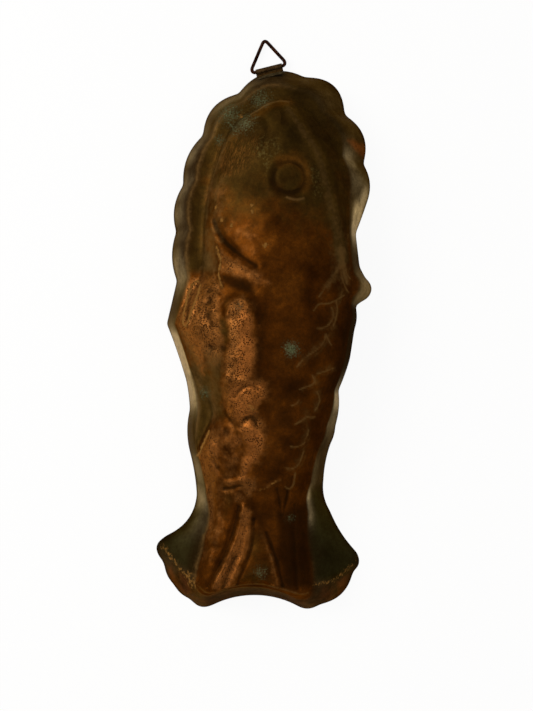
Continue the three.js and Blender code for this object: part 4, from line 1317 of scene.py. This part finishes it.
# the settings that the hanger's metals share, then each metal's own
hangerMetal = {
    "contrast": 2.4, "spread": 0.6, "softness": 0.15, "share": 0.4, "bump": 0.7, "shader": tarnished,
    "slowGloss": False}
metals = {
    "oldTinning": {
        "metallic": 0.85, "roughness": (0.38, 0.58), "dark": (112, 108, 98), "light": (160, 156, 146),
        "spot": (122, 88, 58), "scale": 70.0, "spotScale": 180.0, "depth": 0.12, "contrast": 2.0,
        "spread": 0.5, "softness": 0.2, "share": 0.35, "bump": 0.6, "shader": {}, "slowGloss": True},
    "strapCopper": {
        "metallic": 0.75, "roughness": (0.4, 0.6), "dark": (40, 27, 13), "light": (66, 48, 27),
        "spot": (92, 70, 42), "scale": 260.0, "spotScale": 1040.0, "depth": 0.1},
    "greySolder": {
        "metallic": 0.6, "roughness": (0.45, 0.65), "dark": (42, 34, 20), "light": (70, 58, 38),
        "spot": (78, 68, 48), "scale": 320.0, "spotScale": 1280.0, "depth": 0.12},
    "ironWire": {
        "metallic": 0.1, "roughness": (0.5, 0.7), "dark": (20, 8, 4), "light": (42, 20, 12),
        "spot": (66, 36, 22), "scale": 200.0, "spotScale": 800.0, "depth": 0.05},
}


def mottledMetal(name):
    # two tones in a slow pattern, with spots of a third
    metal = {**hangerMetal, **metals[name]}
    constants = {"Metallic": metal["metallic"], "Roughness": metal["roughness"][0]}
    material, tree, shader = newMaterial(name, {**constants, **metal["shader"]})
    slow, fine = useGroup(tree, mottle, {"Scale": metal["scale"], "Contrast": metal["contrast"]})
    spread, softness = metal["spread"], metal["softness"]
    spotInputs = {"Mask": slow, "Scale": metal["spotScale"], "Spread": spread, "Softness": softness}
    spots = useGroup(tree, brokenMask, spotInputs)[0]
    colour = colourMix(tree, slow, paint(*metal["dark"]), paint(*metal["light"]))
    spots = mathNode(tree, "MULTIPLY", spots, metal["share"])
    colour = colourMix(tree, spots, colour, paint(*metal["spot"]))
    feed(tree, shader, {
        "Base Color": colour,
        "Roughness": valueMix(tree, slow if metal["slowGloss"] else fine, *metal["roughness"]),
        "Normal": bump(tree, fine, metal["depth"], metal["bump"]),
    })
    return material


floorPaint = {
    "shader": {"Base Color": (0.9, 0.9, 0.89, 1), "Metallic": 0.0, "Roughness": 0.9},
    "inReflections": 0.8,
    "toCamera": 0.92,
    "size": 8,
    "place": (0, 0, -0.0003),
}


def makeFloor():
    # seen by the camera or in a reflection it glows an even white; to the lamps it is a plain floor
    deselectAll()
    bpy.ops.mesh.primitive_plane_add(size=floorPaint["size"], location=floorPaint["place"])
    floor = named("floor")
    material, tree, shader = newMaterial("whiteFloor", floorPaint["shader"])
    rays = addNode(tree, "ShaderNodeLightPath", {}).outputs
    seen = mathNode(tree, "MAXIMUM", rays["Is Glossy Ray"], rays["Is Transmission Ray"])
    seen = mathNode(tree, "MULTIPLY", seen, floorPaint["inReflections"])
    ahead = mathNode(tree, "MULTIPLY", rays["Is Camera Ray"], floorPaint["toCamera"])
    glow = addNode(tree, "ShaderNodeEmission", {"Color": (1, 1, 1, 1), "Strength": 1.0})
    both = addNode(tree, "ShaderNodeMixShader", {
        0: mathNode(tree, "MAXIMUM", seen, ahead), 1: shader.outputs[0], 2: glow.outputs[0]})
    feed(tree, tree.nodes["Material Output"], {"Surface": both.outputs[0]})
    floor.data.materials.append(material)


lamps = {
    "key": {"place": (-1.15, 0.35, 1.0), "size": 0.9, "energy": 16.0, "color": (1.0, 0.96, 0.9)},
    "fill": {"place": (0.9, -0.7, 1.5), "size": 1.2, "energy": 4.0, "color": (1.0, 0.97, 0.93)},
}
lampAim = (0, 0, 0.03)
studio = {"Color": (1.0, 0.98, 0.96, 1), "Strength": 0.5}
view = {"azimuth": 4.0, "roll": 1.73, "distance": 0.9, "target": (0.000788, -0.021538, 0.0), "lens": 64.55}


def makeStudio():
    makeFloor()
    world = bpy.data.worlds.new("studio")
    bpy.context.scene.world = world
    world.use_nodes = True
    feed(world.node_tree, world.node_tree.nodes["Background"], studio)
    for name, lamp in lamps.items():
        deselectAll()
        bpy.ops.object.light_add(type="AREA", location=lamp["place"])
        light = bpy.context.object
        light.name = name
        light.data.shape = "DISK"
        setAll(light.data, {key: lamp[key] for key in ("size", "energy", "color")})
        aim = Vector(lampAim) - Vector(lamp["place"])
        light.rotation_euler = aim.to_track_quat("-Z", "Y").to_euler()
    deselectAll()
    tilt = math.radians(view["azimuth"])
    back = Vector((math.sin(tilt), 0, math.cos(tilt)))
    bpy.ops.object.camera_add(location=Vector(view["target"]) + back * view["distance"])
    camera = bpy.context.object
    turn = Matrix.Rotation(tilt, 4, "Y") @ Matrix.Rotation(math.radians(view["roll"]), 4, "Z")
    camera.rotation_euler = turn.to_euler()
    setAll(camera.data, {"sensor_fit": "VERTICAL", "sensor_height": 36, "lens": view["lens"]})
    bpy.context.scene.camera = camera
    bpy.context.scene.view_settings.view_transform = "Standard"


shell = makeShell()
shell.data.materials.append(copperMaterial())
shell.data.materials.append(mottledMetal("oldTinning"))
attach(shell, "mould")
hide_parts("mould_shell")

strapPiece = makeStrap()
strapPiece.data.materials.append(mottledMetal("strapCopper"))
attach(strapPiece, "mould")
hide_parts("hanger_strap")

solderPiece = makeSolder()
solderPiece.data.materials.append(mottledMetal("greySolder"))
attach(solderPiece, "mould")
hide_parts("strap_solder")

loopPiece = makeLoop()
loopPiece.data.materials.append(mottledMetal("ironWire"))
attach(loopPiece, "loop")
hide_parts("hanger_loop")

makeStudio()
